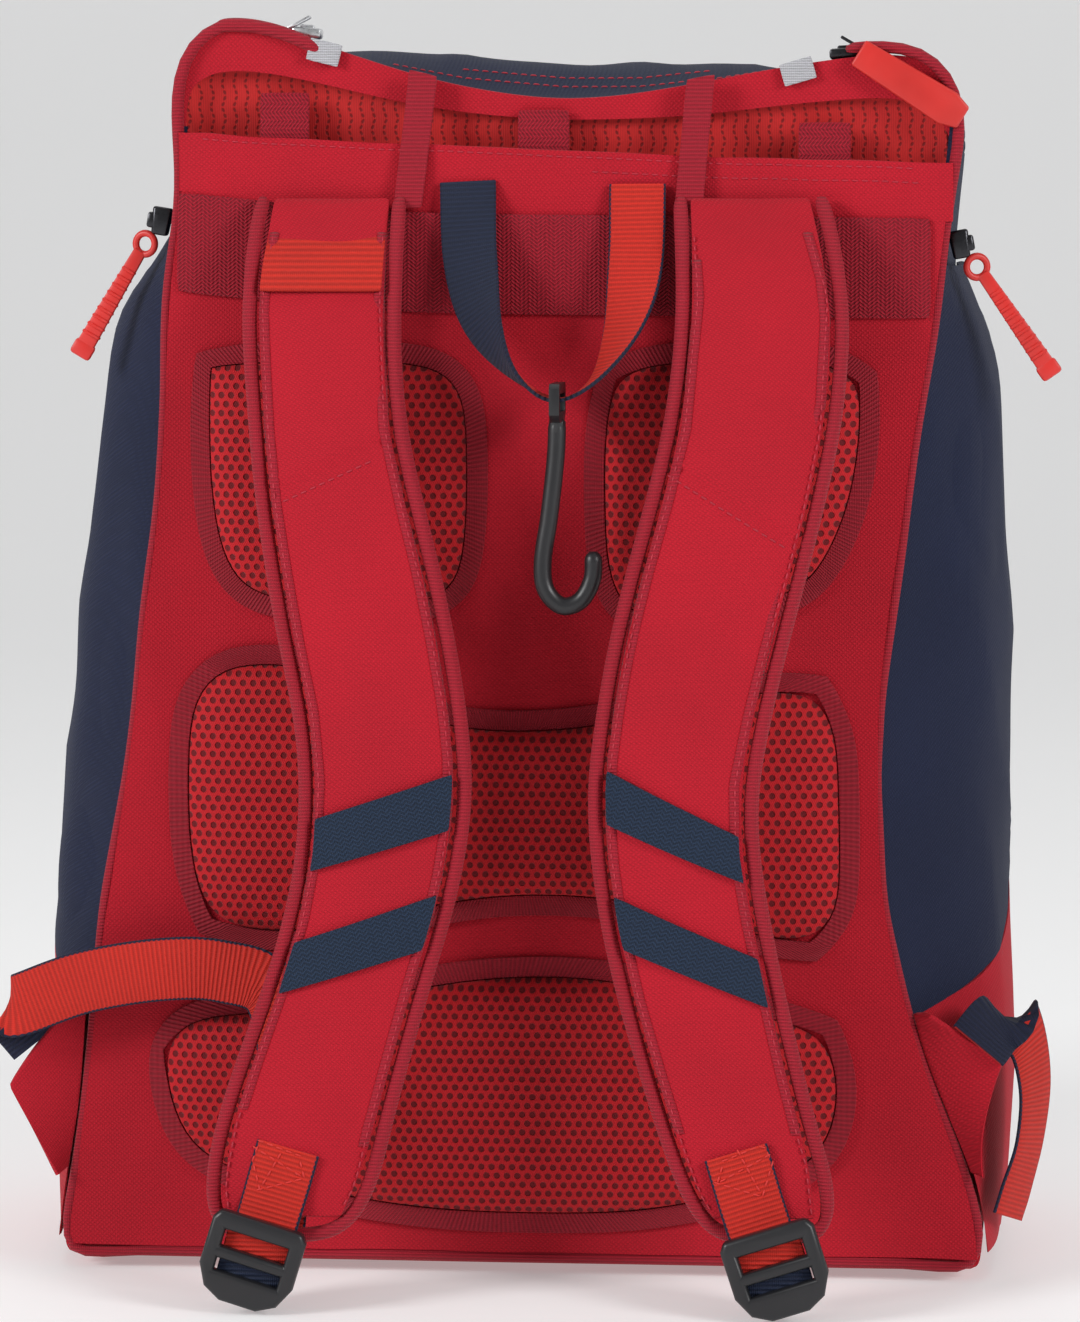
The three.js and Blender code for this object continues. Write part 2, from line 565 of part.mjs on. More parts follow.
// Side bat sleeves: a navy pocket over each side wall, with a red foot below a slanting seam.
const sleeveTop = { left: 82.8, right: 80.4 };
const slantSeam = [{ u: 0, z: 21.5 }, { u: 0.5, z: 29.5 }, { u: 1, z: 33 }];
function sleevePoint(side, u, z) {
  const sign = side === "left" ? -1 : 1;
  const wall = sidePoint(side, u * sleeveDepthShare + 0.01, z);
  const out = sideLine(z, side, 1, 0);
  const high = percentZ(sleeveTop[side]);
  const mouth = THREE.MathUtils.smoothstep(high - z, -2, sleeveMouthDrop);
  const round = Math.sin(Math.PI * THREE.MathUtils.clamp(u, 0, 1)) ** 0.45;
  const puff = Math.abs(out - wall[0]) * round * mouth;
  return [wall[0] + sign * (cloth + 2 * gap + puff), wall[1], z];
}
for (const side of ["left", "right"]) {
  const inward = side === "left" ? -cloth : cloth;
  add("sleeve_" + side, sheet((u, v) => {
    const low = percentZ(column(slantSeam, u, "z", "u")) + gap;
    return sleevePoint(side, u, THREE.MathUtils.lerp(low, percentZ(sleeveTop[side]), v));
  }, 8, 9, inward * 0.9), looks.navyCloth);
  add("sleeve_foot_" + side, sheet((u, v) => {
    const high = percentZ(column(slantSeam, u, "z", "u"));
    return sleevePoint(side, u, THREE.MathUtils.lerp(panelBottom, high, v));
  }, 8, 4, inward * 0.9), looks.redCloth);
}

// Domed mesh pads on the back, each inside a flat ribbon.
function outlineOf(rows, count) {
  const points = rows.map(([x, z]) => new THREE.Vector3(percentX(x), 0, percentZ(z)));
  return new THREE.CatmullRomCurve3(points, true, "centripetal").getSpacedPoints(count).slice(0, count);
}
function insetOf(points, distance) {
  const count = points.length;
  const turn = points.reduce((sum, a, i) => {
    const b = points[(i + 1) % count];
    return sum + a.x * b.z - b.x * a.z;
  }, 0);
  return points.map((point, i) => {
    const along = points[(i + 1) % count].clone().sub(points[(i + count - 1) % count]).normalize();
    const inward = new THREE.Vector3(-along.z, 0, along.x).multiplyScalar(Math.sign(turn));
    return point.clone().addScaledVector(inward, distance);
  });
}
function loopAt(points, lift, shrink = 1) {
  const middle = points.reduce((sum, p) => sum.add(p), new THREE.Vector3()).divideScalar(points.length);
  return points.map((point) => {
    const moved = point.clone().sub(middle).multiplyScalar(shrink).add(middle);
    return [moved.x, backY(moved.x, moved.z) - lift, moved.z];
  });
}
function capped(loops) {
  const count = loops[0].length;
  const positions = loops.flat(2);
  const index = [];
  for (let k = 0; k + 1 < loops.length; k += 1) {
    for (let i = 0; i < count; i += 1) {
      const a = k * count + i;
      const b = k * count + ((i + 1) % count);
      index.push(a, b, b + count, a, b + count, a + count);
    }
  }
  const centre = (loop) => {
    const [x, y, z] = [0, 1, 2].map((k) => loop.reduce((sum, p) => sum + p[k], 0) / count);
    const lift = loop.reduce((sum, p) => sum + backY(p[0], p[2]) - p[1], 0) / count;
    positions.push(x, backY(x, z) - lift, z);
    return positions.length / 3 - 1;
  };
  const low = centre(loops[0]);
  const high = centre(loops[loops.length - 1]);
  const last = (loops.length - 1) * count;
  for (let i = 0; i < count; i += 1) {
    index.push(low, (i + 1) % count, i);
    index.push(high, last + i, last + ((i + 1) % count));
  }
  return closed(positions, index);
}
function ringOf(outer, inner, low, high) {
  const loops = [loopAt(outer, low), loopAt(outer, high), loopAt(inner, high), loopAt(inner, low)];
  const count = outer.length;
  const positions = loops.flat(2);
  const index = [];
  for (let k = 0; k < 4; k += 1) {
    for (let i = 0; i < count; i += 1) {
      const a = k * count + i;
      const b = k * count + ((i + 1) % count);
      const c = ((k + 1) % 4) * count + ((i + 1) % count);
      const d = ((k + 1) % 4) * count + i;
      index.push(a, b, c, a, c, d);
    }
  }
  return closed(positions, index);
}
for (const [name, rows] of Object.entries(padOutlines)) {
  const count = rows.length + 6;
  const outer = outlineOf(rows, count);
  const inner = insetOf(outer, ribbonWidth);
  add("ribbon_" + name, ringOf(outer, inner, seat, seat + ribbonThickness), looks.redWebbing);
  const edge = insetOf(outer, ribbonWidth + gap);
  add("pad_" + name, capped([
    loopAt(edge, seat, 0.35), loopAt(edge, seat, 0.7), loopAt(edge, seat),
    loopAt(edge, padHeight * 0.4), loopAt(edge, padHeight * 0.75, 0.94),
    loopAt(edge, padHeight, 0.8), loopAt(edge, padHeight, 0.4),
  ]), looks.redMesh);
}

// Wide webbing across the top of the back, with the harness over it.
add("wide_webbing", sheet((u, v) => {
  const low = THREE.MathUtils.lerp(leftEdge(percentZ(80)), rightEdge(percentZ(80)), u);
  const z = seamZ(low) - gap * 2 - wideWebbingWidth * (1 - v);
  return [low, backY(low, z) - seat - webbingThickness, z];
}, 8, 2, webbingThickness), looks.redWebbing);

// Tabs and bridges of webbing over the back pocket.
const tabTable = [
  { name: "tab_left", x: -52.2, top: 94.0 },
  { name: "tab_centre", x: 2.9, top: 92.6 },
  { name: "tab_right", x: 61.8, top: 91.6 },
];
for (const row of tabTable) {
  add(row.name, sheet((u, v) => {
    const x = percentX(row.x) + (u - 0.5) * tabWidth;
    const low = hemZ(x) - 14;
    const y = THREE.MathUtils.lerp(bandY(x, low) + cloth + gap, backPlane + cloth - 1.6, v);
    return [x, y, THREE.MathUtils.lerp(low, percentZ(row.top), v)];
  }, 1, 3, webbingThickness), looks.redWebbing);
}
const bridgeTable = [
  { name: "bridge_left", high: -22.2, low: -25.2 },
  { name: "bridge_right", high: 36.0, low: 33.4 },
];
for (const row of bridgeTable) {
  add(row.name, sheet((u, v) => {
    const x = percentX(THREE.MathUtils.lerp(row.low, row.high, v)) + (u - 0.5) * bridgeWidth;
    const z = THREE.MathUtils.lerp(seamZ(x) + 1.5, topZ(x) + 2, v);
    return [x, backPlane - backBelly - webbingThickness - gap + 2 * v, z];
  }, 1, 6, webbingThickness), looks.redWebbing);
}

// Harness straps: padded bodies inside a binding.
const straps = { left: leftStrap, right: rightStrap };
function strapAt(side, z) {
  const rows = straps[side];
  const share = shareZ(z);
  const top = percentZ(rows[0].z);
  const full = THREE.MathUtils.smoothstep(top - z, -4, 24);
  return {
    outer: percentX(column(rows, share, "outer")),
    inner: percentX(column(rows, share, "inner")),
    off: (column(rows, share, "off") / 100) * strapStandoff,
    thick: strapThickness * THREE.MathUtils.lerp(0.36, 1, full),
  };
}
function strapFront(side, u, z, lift) {
  const at = strapAt(side, z);
  const sign = side === "left" ? 1 : -1;
  const inside = sign * (bindingWidth + gap);
  const x = THREE.MathUtils.lerp(at.outer + inside, at.inner - inside, u);
  const lens = 0.64 + 0.36 * Math.sin(Math.PI * THREE.MathUtils.clamp(u, 0, 1));
  return [x, backPlane - at.off - (at.thick / 2) * lens - lift, z];
}
function sweep(points, faces, width, height) {
  const path = new THREE.CatmullRomCurve3(points.map((p) => new THREE.Vector3(...p)), false, "centripetal");
  const positions = [];
  const index = [];
  const section = [[-1, 0], [-0.55, -1], [0.55, -1], [1, 0], [0.55, 1], [-0.55, 1]];
  const count = section.length;
  for (let k = 0; k <= faces; k += 1) {
    const at = path.getPoint(k / faces);
    const along = path.getTangent(k / faces);
    const across = along.clone().cross(new THREE.Vector3(0, 1, 0)).normalize();
    const out = across.clone().cross(along).normalize();
    const grow = Math.min(1, 0.4 + 8 * Math.min(k / faces, 1 - k / faces));
    for (const [a, b] of section) {
      const point = at.clone().addScaledVector(across, (a * width) / 2);
      positions.push(...point.addScaledVector(out, (b * grow * height) / 2).toArray());
    }
  }
  for (let k = 0; k < faces; k += 1) {
    for (let i = 0; i < count; i += 1) {
      const a = k * count + i;
      const b = k * count + ((i + 1) % count);
      index.push(a, b, b + count, a, b + count, a + count);
    }
  }
  const end = faces * count;
  for (let i = 1; i + 1 < count; i += 1) {
    index.push(0, i + 1, i, end, end + i, end + i + 1);
  }
  return closed(positions, index);
}
for (const [side, rows] of Object.entries(straps)) {
  const sign = side === "left" ? 1 : -1;
  const top = percentZ(rows[0].z);
  const bottom = percentZ(rows[rows.length - 1].z);
  add("strap_" + side, sheet((u, v) => {
    const z = THREE.MathUtils.lerp(top, bottom + bindingWidth * 1.5, v);
    return strapFront(side, u, z, 0);
  }, 4, 18, (u, v) => {
    const z = THREE.MathUtils.lerp(top, bottom + bindingWidth * 1.5, v);
    return -strapAt(side, z).thick * (0.64 + 0.36 * Math.sin(Math.PI * u)) * sign;
  }), looks.redCloth);
  const path = [];
  const middle = (at, x, z) => path.push([x, backPlane - at.off, z]);
  for (const row of rows.slice(0, -1)) {
    const at = strapAt(side, percentZ(row.z));
    middle(at, at.outer + (sign * bindingWidth) / 2, percentZ(row.z));
  }
  const last = strapAt(side, bottom);
  for (const share of [0.1, 0.5, 0.9]) {
    const x = THREE.MathUtils.lerp(last.outer, last.inner, share);
    middle(last, x, bottom + bindingWidth * (share === 0.5 ? 0.3 : 0.5));
  }
  for (const row of rows.slice(0, -1).reverse()) {
    const at = strapAt(side, percentZ(row.z));
    middle(at, at.inner - (sign * bindingWidth) / 2, percentZ(row.z));
  }
  add("strap_edge_" + side, sweep(path, 44, bindingWidth - gap, bindingThickness * 0.9), looks.redWebbing);
}

// Slanted stripes and the ribbed band on the straps, in percent of bagHeight.
const stripeTable = [
  { name: "stripe_left_high", side: "left", outer: [33.9, 38.0], inner: [37.2, 41.6] },
  { name: "stripe_left_low", side: "left", outer: [24.4, 28.4], inner: [27.9, 32.2] },
  { name: "stripe_right_high", side: "right", outer: [33.4, 37.0], inner: [37.8, 42.0] },
  { name: "stripe_right_low", side: "right", outer: [23.8, 27.6], inner: [28.1, 32.2] },
  { name: "strap_band_left", side: "left", outer: [78.6, 83.0], inner: [78.6, 83.0] },
];
for (const row of stripeTable) {
  const sign = row.side === "left" ? 1 : -1;
  const look = row.name.startsWith("stripe") ? looks.navyWebbing : looks.orangeWebbing;
  add(row.name, sheet((u, v) => {
    const outer = THREE.MathUtils.lerp(row.outer[0], row.outer[1], v);
    const inner = THREE.MathUtils.lerp(row.inner[0], row.inner[1], v);
    const share = THREE.MathUtils.lerp(0.01, 0.99, u);
    const z = percentZ(THREE.MathUtils.lerp(outer, inner, u));
    return strapFront(row.side, share, z, seat + webbingThickness);
  }, 4, 3, webbingThickness * sign), look);
}

// Webbing bands of the harness: x and z in percent, out in mm in front of the back plane.
const place = (row) => ({
  x: percentX(row.x), y: backPlane - row.out, z: percentZ(row.z), side: row.side,
});
const endTabs = {
  left: [
    { x: -46.9, z: 12.6, out: 67.6, side: [1, 0, 0.26] }, { x: -49.4, z: 9.2, out: 70.0, side: [1, 0, 0.28] },
    { x: -51.6, z: 6.2, out: 74.2, side: [1, 0, 0.3] },
    { x: -52.6, z: 4.6, out: tabOut, side: [1, 0, 0.3] },
  ],
  right: [
    { x: 45.6, z: 12.8, out: 67.6, side: [1, 0, -0.28] }, { x: 48.6, z: 9.2, out: 70.0, side: [1, 0, -0.3] },
    { x: 51.4, z: 6.2, out: 74.2, side: [1, 0, -0.33] },
    { x: 52.6, z: 4.6, out: tabOut, side: [1, 0, -0.33] },
  ],
};
for (const [side, rows] of Object.entries(endTabs)) {
  add("end_tab_" + side, band(rows.map(place), webbingWidth, webbingThickness, 6), looks.orangeWebbing);
}

// Ladder-lock buckles: a plate with two slots and a rounded tongue.
const buckleTable = [
  { name: "buckle_left", x: -54.0, tilt: 17 },
  { name: "buckle_right", x: 54.6, tilt: -18 },
];
const buckleZ = buckleHeight / 2 + buckleClear + 2.2;
const buckleY = backPlane - tabOut - webbingThickness * 1.2;
for (const row of buckleTable) {
  const half = buckleWidth / 2;
  const high = buckleHeight / 2;
  const outline = new THREE.Shape();
  outline.moveTo(-half + 2, high);
  outline.lineTo(half - 2, high);
  outline.lineTo(half, high - 3);
  outline.lineTo(half, -high * 0.3);
  outline.lineTo(half * 0.78, -high * 0.78);
  outline.lineTo(half * 0.4, -high);
  outline.lineTo(-half * 0.4, -high);
  outline.lineTo(-half * 0.78, -high * 0.78);
  outline.lineTo(-half, -high * 0.3);
  outline.lineTo(-half, high - 3);
  outline.closePath();
  for (const [low, top] of [[0.16, 0.66], [-0.42, -0.04]]) {
    const slot = new THREE.Path();
    slot.moveTo(-slotWidth / 2, high * low);
    slot.lineTo(slotWidth / 2, high * low);
    slot.lineTo(slotWidth / 2, high * top);
    slot.lineTo(-slotWidth / 2, high * top);
    slot.closePath();
    outline.holes.push(slot);
  }
  const plate = new THREE.ExtrudeGeometry(outline, { depth: buckleThickness, bevelEnabled: false });
  plate.rotateX(Math.PI / 2);
  const mesh = add(row.name, plate, looks.blackPlastic);
  mesh.position.set(percentX(row.x), buckleY, buckleZ);
  mesh.rotation.y = THREE.MathUtils.degToRad(row.tilt);
}

// Triangular wings sewn into the side seams, and the adjusting webbing that leaves them.
const wingRows = {
  left: [
    { seam: 8.2, x: -101.2, z: 7.8 }, { seam: 10.5, x: -103.8, z: 9.4 }, { seam: 15.0, x: -108.4, z: 12.6 },
    { seam: 17.6, x: -111.7, z: 15.0 }, { seam: 20.2, x: -102.6, z: 19.7 }, { seam: 21.8, x: -97.6, z: 21.5 },
  ],
  right: [
    { seam: 8.8, x: 96.2, z: 8.6 }, { seam: 11.0, x: 95.6, z: 11.2 }, { seam: 14.0, x: 97.0, z: 14.4 },
    { seam: 17.0, x: 100.2, z: 18.1 }, { seam: 20.2, x: 90.4, z: 20.2 }, { seam: 21.6, x: 84.2, z: 21.5 },
  ],
};
for (const [side, rows] of Object.entries(wingRows)) {
  const sign = side === "left" ? -1 : 1;
  const outOf = rows.map((row, i) => ({ i, x: row.x, z: row.z, seam: row.seam }));
  add("wing_" + side, sheet((u, v) => {
    const i = v * (rows.length - 1);
    const seam = percentZ(column(outOf, i, "seam", "i"));
    const start = sign < 0 ? leftEdge(seam) - seamIn - gap : rightEdge(seam) + seamIn + gap;
    const x = THREE.MathUtils.lerp(start, percentX(column(outOf, i, "x", "i")), u);
    const z = THREE.MathUtils.lerp(seam, percentZ(column(outOf, i, "z", "i")), u);
    return [x, backPlane + 0.5 - 7 * u, z];
  }, 2, 5, cloth * sign), looks.redCloth);
}
const adjusters = {
  webbing_left: [
    { x: -105.4, z: 18.6, out: 4.6, side: [0.6, 0, 0.8] },
    { x: -109.2, z: 20.4, out: 6.5, side: [0.5, 0, 0.87] },
    { x: -111.0, z: 21.4, out: 11, side: [0.4, 0, 0.92] },
    { x: -107.5, z: 21.9, out: 15, side: [0.3, 0, 0.95] },
    { x: -94.0, z: 23.8, out: 18, side: [-0.1, 0, 1] }, { x: -77.0, z: 25.0, out: 22, side: [0, 0, 1] },
    { x: -63.0, z: 24.2, out: 27, side: [0.25, 0, 0.97] },
    { x: -54.0, z: 20.8, out: 33, side: [0.7, 0, 0.7] },
    { x: -50.0, z: 15.0, out: 42, side: [0.97, 0, 0.2] }, { x: -50.5, z: 9.0, out: 51, side: [1, 0, 0.1] },
    { x: -51.4, z: 5.4, out: 52.5, side: [1, 0, 0.2] }, { x: -52.6, z: 3.0, out: 60, side: [1, 0, 0.25] },
    { x: -53.4, z: 2.5, out: 70, side: [1, 0, 0.3] },
    { x: -53.8, z: 3.0, out: tabOut + 1.2, side: [1, 0, 0.3] },
  ],
  webbing_right: [
    { x: 95.0, z: 19.4, out: 8.4, side: [0.87, 0, -0.49] },
    { x: 99.6, z: 21.0, out: -2, side: [0.82, 0.4, -0.38] },
    { x: 104.6, z: 19.8, out: -14, side: [0.62, 0.75, -0.1] },
    { x: 107.0, z: 15.6, out: -18, side: [0.5, 0.87, 0] },
    { x: 106.0, z: 11.0, out: -17, side: [0.45, 0.9, 0] },
    { x: 103.2, z: 7.2, out: -14, side: [0.5, 0.85, 0] },
    { x: 101.4, z: 5.0, out: -12, side: [0.5, 0.85, 0] },
  ],
  webbing_buckle_right: [
    { x: 47.0, z: 17.0, out: 47, side: [1, 0, 0] }, { x: 49.0, z: 9.0, out: 51, side: [1, 0, -0.1] },
    { x: 50.6, z: 5.4, out: 52.5, side: [1, 0, -0.2] }, { x: 52.4, z: 3.0, out: 60, side: [1, 0, -0.25] },
    { x: 53.6, z: 2.5, out: 70, side: [1, 0, -0.3] },
    { x: 54.0, z: 3.0, out: tabOut + 1.2, side: [1, 0, -0.3] },
  ],
};
for (const [name, rows] of Object.entries(adjusters)) {
  add(name, band(rows.map(place), webbingWidth, webbingThickness, rows.length * 3), looks.orangeWebbing);
}

// Grab loop: flat at both sewn ends and turned edge-on where the hook hangs.
const loopRows = [
  { x: -12.8, z: 85.8, out: 4.8, side: [1, 0, 0] }, { x: -11.8, z: 81.0, out: 14, side: [0.97, -0.2, 0.15] },
  { x: -8.2, z: 76.0, out: 26, side: [0.7, -0.7, 0.1] }, { x: -0.6, z: 71.9, out: 35, side: [0.2, -0.98, 0] },
  { x: 7.5, z: 70.2, out: 38, side: [0, -1, 0] }, { x: 15.6, z: 71.9, out: 35, side: [0.2, -0.98, 0] },
  { x: 21.0, z: 76.0, out: 26, side: [0.7, -0.7, -0.1] }, { x: 22.8, z: 81.0, out: 14, side: [0.97, -0.2, -0.15] },
  { x: 22.8, z: 85.6, out: 4.8, side: [1, 0, 0] },
];
add("grab_loop", band(loopRows.map(place), loopWidth, webbingThickness, 28), looks.orangeWebbing);

// Fence hook: a slotted head on the loop and a round J below it, about its pivot.
const hookPath = [
  [0, 0, -9.5], [-0.6, 0, -26.2], [-3.0, 0, -52.4], [-5.6, 0, -73.8], [-4.6, 0, -86.9], [1.5, 0, -94.6],
  [9.0, 0, -92.3], [13.6, 0, -82.1], [14.0, 0, -69.0],
];
const hook = new THREE.Group();
hook.position.set(percentX(loopRows[4].x), backPlane - loopRows[4].out, percentZ(loopRows[4].z));
const slotTop = 2.6;
const head = new THREE.Shape();
const headHalf = hookHeadWidth / 2;
const headTop = slotTop + (hookHeadHeight - hookSlotHeight) / 2;
head.moveTo(-headHalf + 2, headTop);
head.lineTo(headHalf - 2, headTop);
head.lineTo(headHalf, headTop - 2);
head.lineTo(headHalf, headTop - hookHeadHeight + 3);
head.lineTo(headHalf - 5, headTop - hookHeadHeight);
head.lineTo(-headHalf + 5, headTop - hookHeadHeight);
head.lineTo(-headHalf, headTop - hookHeadHeight + 3);
head.lineTo(-headHalf, headTop - 2);
head.closePath();
const eye = new THREE.Path();
eye.moveTo(-loopWidth / 2 - gap, slotTop - hookSlotHeight);
eye.lineTo(loopWidth / 2 + gap, slotTop - hookSlotHeight);
eye.lineTo(loopWidth / 2 + gap, slotTop);
eye.lineTo(-loopWidth / 2 - gap, slotTop);
eye.closePath();
head.holes.push(eye);
const headGeometry = new THREE.ExtrudeGeometry(head, { depth: hookHeadThickness, bevelEnabled: false });
headGeometry.translate(0, 0, -hookHeadThickness / 2);
headGeometry.rotateX(Math.PI / 2);
headGeometry.rotateZ(Math.PI / 2);
const shank = bar(hookPath.map(([x, y, z]) => [x, y, (z / 100) * hookLength]), hookRadius, 30, 8);
add("fence_hook", geometryOf(solid(headGeometry).add(solid(shank))), looks.blackPlastic, hook);
bag.add(hook);

// Zip sliders and their pulls. Turns are in degrees.
function block(name, size, at, tilt, look, lean = 0) {
  const mesh = add(name, new THREE.BoxGeometry(...size), look);
  mesh.position.set(...at);
  mesh.rotation.set(THREE.MathUtils.degToRad(lean), THREE.MathUtils.degToRad(tilt), 0);
  return mesh;
}
const tapeLine = bandLine + cloth + gap * 2;
const sliderY = tapeLine + sliderWidth / 2 + 1;
const sliderTable = [
  { name: "slider_top_left", x: -47.6, lift: 0.8, tilt: 4, look: looks.silver },
  { name: "slider_top_right", x: 65.6, lift: -0.1, tilt: -3, look: looks.blackPlastic },
];
for (const row of sliderTable) {
  const x = percentX(row.x);
  const z = topZ(x) + sliderThickness / 2 + row.lift;
  block(row.name, [sliderLength, sliderWidth, sliderThickness], [x, sliderY, z], row.tilt, row.look);
}

// Pale ribbon ends on the top sliders, folded over the band.
const ribbonEnds = [
  { name: "pull_ribbon_left", x: -43.4, tilt: 14 },
  { name: "pull_ribbon_right", x: 56.0, tilt: -16 },
];
const ribbonDrop = 9;
const ribbonSpan = 13;
const bandFront = bandLine - cloth * 0.2;
for (const row of ribbonEnds) {
  const x = percentX(row.x);
  const at = [x, bandFront - webbingThickness / 2 - gap, topZ(x) - ribbonDrop * 0.3];
  block(row.name, [ribbonSpan, webbingThickness, ribbonDrop], at, row.tilt, looks.silver);
}

// Tapered pulls: flat at the top right, ribbed and round-ended at the sides.
function pullShape(length, wide, narrow, thickness) {
  const shape = new THREE.Shape();
  shape.moveTo(-narrow / 2, 0);
  shape.lineTo(narrow / 2, 0);
  shape.lineTo(wide / 2, -length * 0.85);
  shape.lineTo(wide / 3, -length);
  shape.lineTo(-wide / 3, -length);
  shape.lineTo(-wide / 2, -length * 0.85);
  shape.closePath();
  const geometry = new THREE.ExtrudeGeometry(shape, { depth: thickness, bevelEnabled: false });
  geometry.translate(0, 0, -thickness / 2);
  return geometry.rotateX(Math.PI / 2);
}
const flatPull = add("pull_top_right",
  pullShape(flatPullLength, flatPullWidth, flatPullWidth * 0.8, pullThickness * 0.7), looks.redRubber);
flatPull.position.set(percentX(68.6), backPlane - pullThickness * 0.35 - gap, percentZ(97.0));
flatPull.rotation.y = THREE.MathUtils.degToRad(-58);
const sidePulls = [
  { side: "left", x: -84.0, z: 81.8, y: 14, tilt: 31 },
  { side: "right", x: 97.6, z: 80.0, y: 12, tilt: -35 },
];
for (const row of sidePulls) {
  const sign = row.side === "left" ? -1 : 1;
  const z = percentZ(row.z) + sliderLength * 0.75 + 3;
  const wall = sidePoint(row.side, (row.y - seamIn) / depthAt(z) / 1.6, z)[0];
  const x = wall + sign * (sliderWidth / 2 + gap * 3);
  block("slider_side_" + row.side, [sliderWidth, sliderThickness, sliderLength],
    [x, backPlane + row.y, z], row.tilt * 0.3, looks.blackPlastic);
  const pull = add("pull_side_" + row.side,
    pullShape(pullLength * 1.28, pullWidth, pullWidth * 0.5, pullThickness), looks.redRubber);
  pull.position.set(x + sign * sliderWidth * 0.42, backPlane + row.y, z - sliderLength / 2 - gap * 3);
  pull.rotation.y = THREE.MathUtils.degToRad(row.tilt);
}

export default bag;
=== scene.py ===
"""A stand-up sports backpack: cloth, webbing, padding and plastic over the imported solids."""
import math

import bmesh
import bpy
import numpy as np
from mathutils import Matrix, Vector, noise
from mathutils.bvhtree import BVHTree


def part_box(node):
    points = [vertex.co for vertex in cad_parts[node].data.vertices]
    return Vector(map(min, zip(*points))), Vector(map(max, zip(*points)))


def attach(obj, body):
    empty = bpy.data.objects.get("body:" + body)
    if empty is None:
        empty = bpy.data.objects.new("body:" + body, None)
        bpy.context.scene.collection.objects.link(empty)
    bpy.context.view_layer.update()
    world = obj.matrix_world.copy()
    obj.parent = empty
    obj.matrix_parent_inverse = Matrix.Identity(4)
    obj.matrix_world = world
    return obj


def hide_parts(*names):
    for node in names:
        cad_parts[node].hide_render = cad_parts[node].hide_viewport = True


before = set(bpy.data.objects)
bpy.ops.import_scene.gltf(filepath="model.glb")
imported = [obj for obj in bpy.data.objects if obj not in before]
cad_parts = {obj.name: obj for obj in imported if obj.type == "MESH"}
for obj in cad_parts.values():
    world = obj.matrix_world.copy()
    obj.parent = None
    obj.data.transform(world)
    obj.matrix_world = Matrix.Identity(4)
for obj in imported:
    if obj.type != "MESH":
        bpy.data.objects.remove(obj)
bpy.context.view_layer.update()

bl_info = {
    "name": "Bat backpack",
    "version": (1, 0, 0),
    "blender": (4, 5, 0),
    "location": "3D View > Sidebar > Backpack",
    "description": "Builds the cloth, webbing and hardware of a stand-up sports backpack",
    "category": "Add Mesh",
}

MM = 0.001
half_back = 0.187
bag_height = 0.5
back_plane = -0.105


class Value:
    """A number in a shader. Sums and products on it add Math nodes."""

    def __init__(self, look, socket):
        self.look = look
        self.socket = socket

    def __add__(self, other):
        return self.look.math("ADD", self, other)

    def __sub__(self, other):
        return self.look.math("SUBTRACT", self, other)

    def __rsub__(self, other):
        return self.look.math("SUBTRACT", other, self)

    def __mul__(self, other):
        return self.look.math("MULTIPLY", self, other)

    def __truediv__(self, other):
        return self.look.math("DIVIDE", self, other)

    __radd__ = __add__
    __rmul__ = __mul__


class Look:
    """One material: its nodes, and the colour, roughness and relief that they give."""

    def __init__(self, name, roughness=0.8, sheen=0.0, metallic=0.0, specular=0.5, coat=0.0):
        self.material = bpy.data.materials.new(name)
        self.material.use_nodes = True
        self.tree = self.material.node_tree
        self.shader = self.tree.nodes["Principled BSDF"]
        self.shader.inputs["Roughness"].default_value = roughness
        self.shader.inputs["Sheen Weight"].default_value = sheen
        self.shader.inputs["Sheen Roughness"].default_value = 0.5
        self.shader.inputs["Metallic"].default_value = metallic
        self.shader.inputs["Specular IOR Level"].default_value = specular
        self.shader.inputs["Coat Weight"].default_value = coat

    def node(self, kind, settings=None, values=None, output=0):
        made = self.tree.nodes.new(kind)
        for key, value in (settings or {}).items():
            setattr(made, key, value)
        for key, value in (values or {}).items():
            self.feed(made.inputs[key], value)
        return Value(self, made.outputs[output])

    def feed(self, socket, value):
        if isinstance(value, Value):
            self.tree.links.new(value.socket, socket)
        else:
            socket.default_value = value

    def math(self, operation, *values):
        return self.node("ShaderNodeMath", {"operation": operation}, dict(enumerate(values)))

    def wave(self, value, length):
        """0 to 1 and back, once in each length of the value."""
        return self.math("SINE", value * (math.tau / length)) * 0.5 + 0.5

    def split(self, vector):
        made = self.tree.nodes.new("ShaderNodeSeparateXYZ")
        self.feed(made.inputs[0], vector)
        return [Value(self, made.outputs[i]) for i in range(3)]

    def place(self):
        return self.node("ShaderNodeTexCoord", output=3)

    def own_map(self):
        return self.node("ShaderNodeUVMap", {"uv_map": "weave"})

    def noise(self, vector, scale, detail=2.0):
        return self.node("ShaderNodeTexNoise", None,
                         {"Vector": vector, "Scale": scale, "Detail": detail, "Roughness": 0.55})

    def mix(self, factor, low, high):
        return self.node("ShaderNodeMix", {"data_type": "RGBA"}, {0: factor, 6: low, 7: high}, 2)

    def step(self, value, low, high):
        """0 below low, 1 above high and smooth between them."""
        return self.node("ShaderNodeMapRange", {"interpolation_type": "SMOOTHSTEP"},
                         {"Value": value, "From Min": low, "From Max": high})

    def finish(self, colour, height=None, relief=0.3, distance=0.0006, roughness=None):
        self.feed(self.shader.inputs["Base Color"], colour)
        if height is not None:
            bump = self.node("ShaderNodeBump", None,
                             {"Strength": relief, "Distance": distance, "Height": height})
            self.feed(self.shader.inputs["Normal"], bump)
        if roughness is not None:
            self.feed(self.shader.inputs["Roughness"], roughness)
        return self.material


def shade(colour, amount):
    return tuple(min(1.0, c * amount) for c in colour[:3]) + (1.0,)


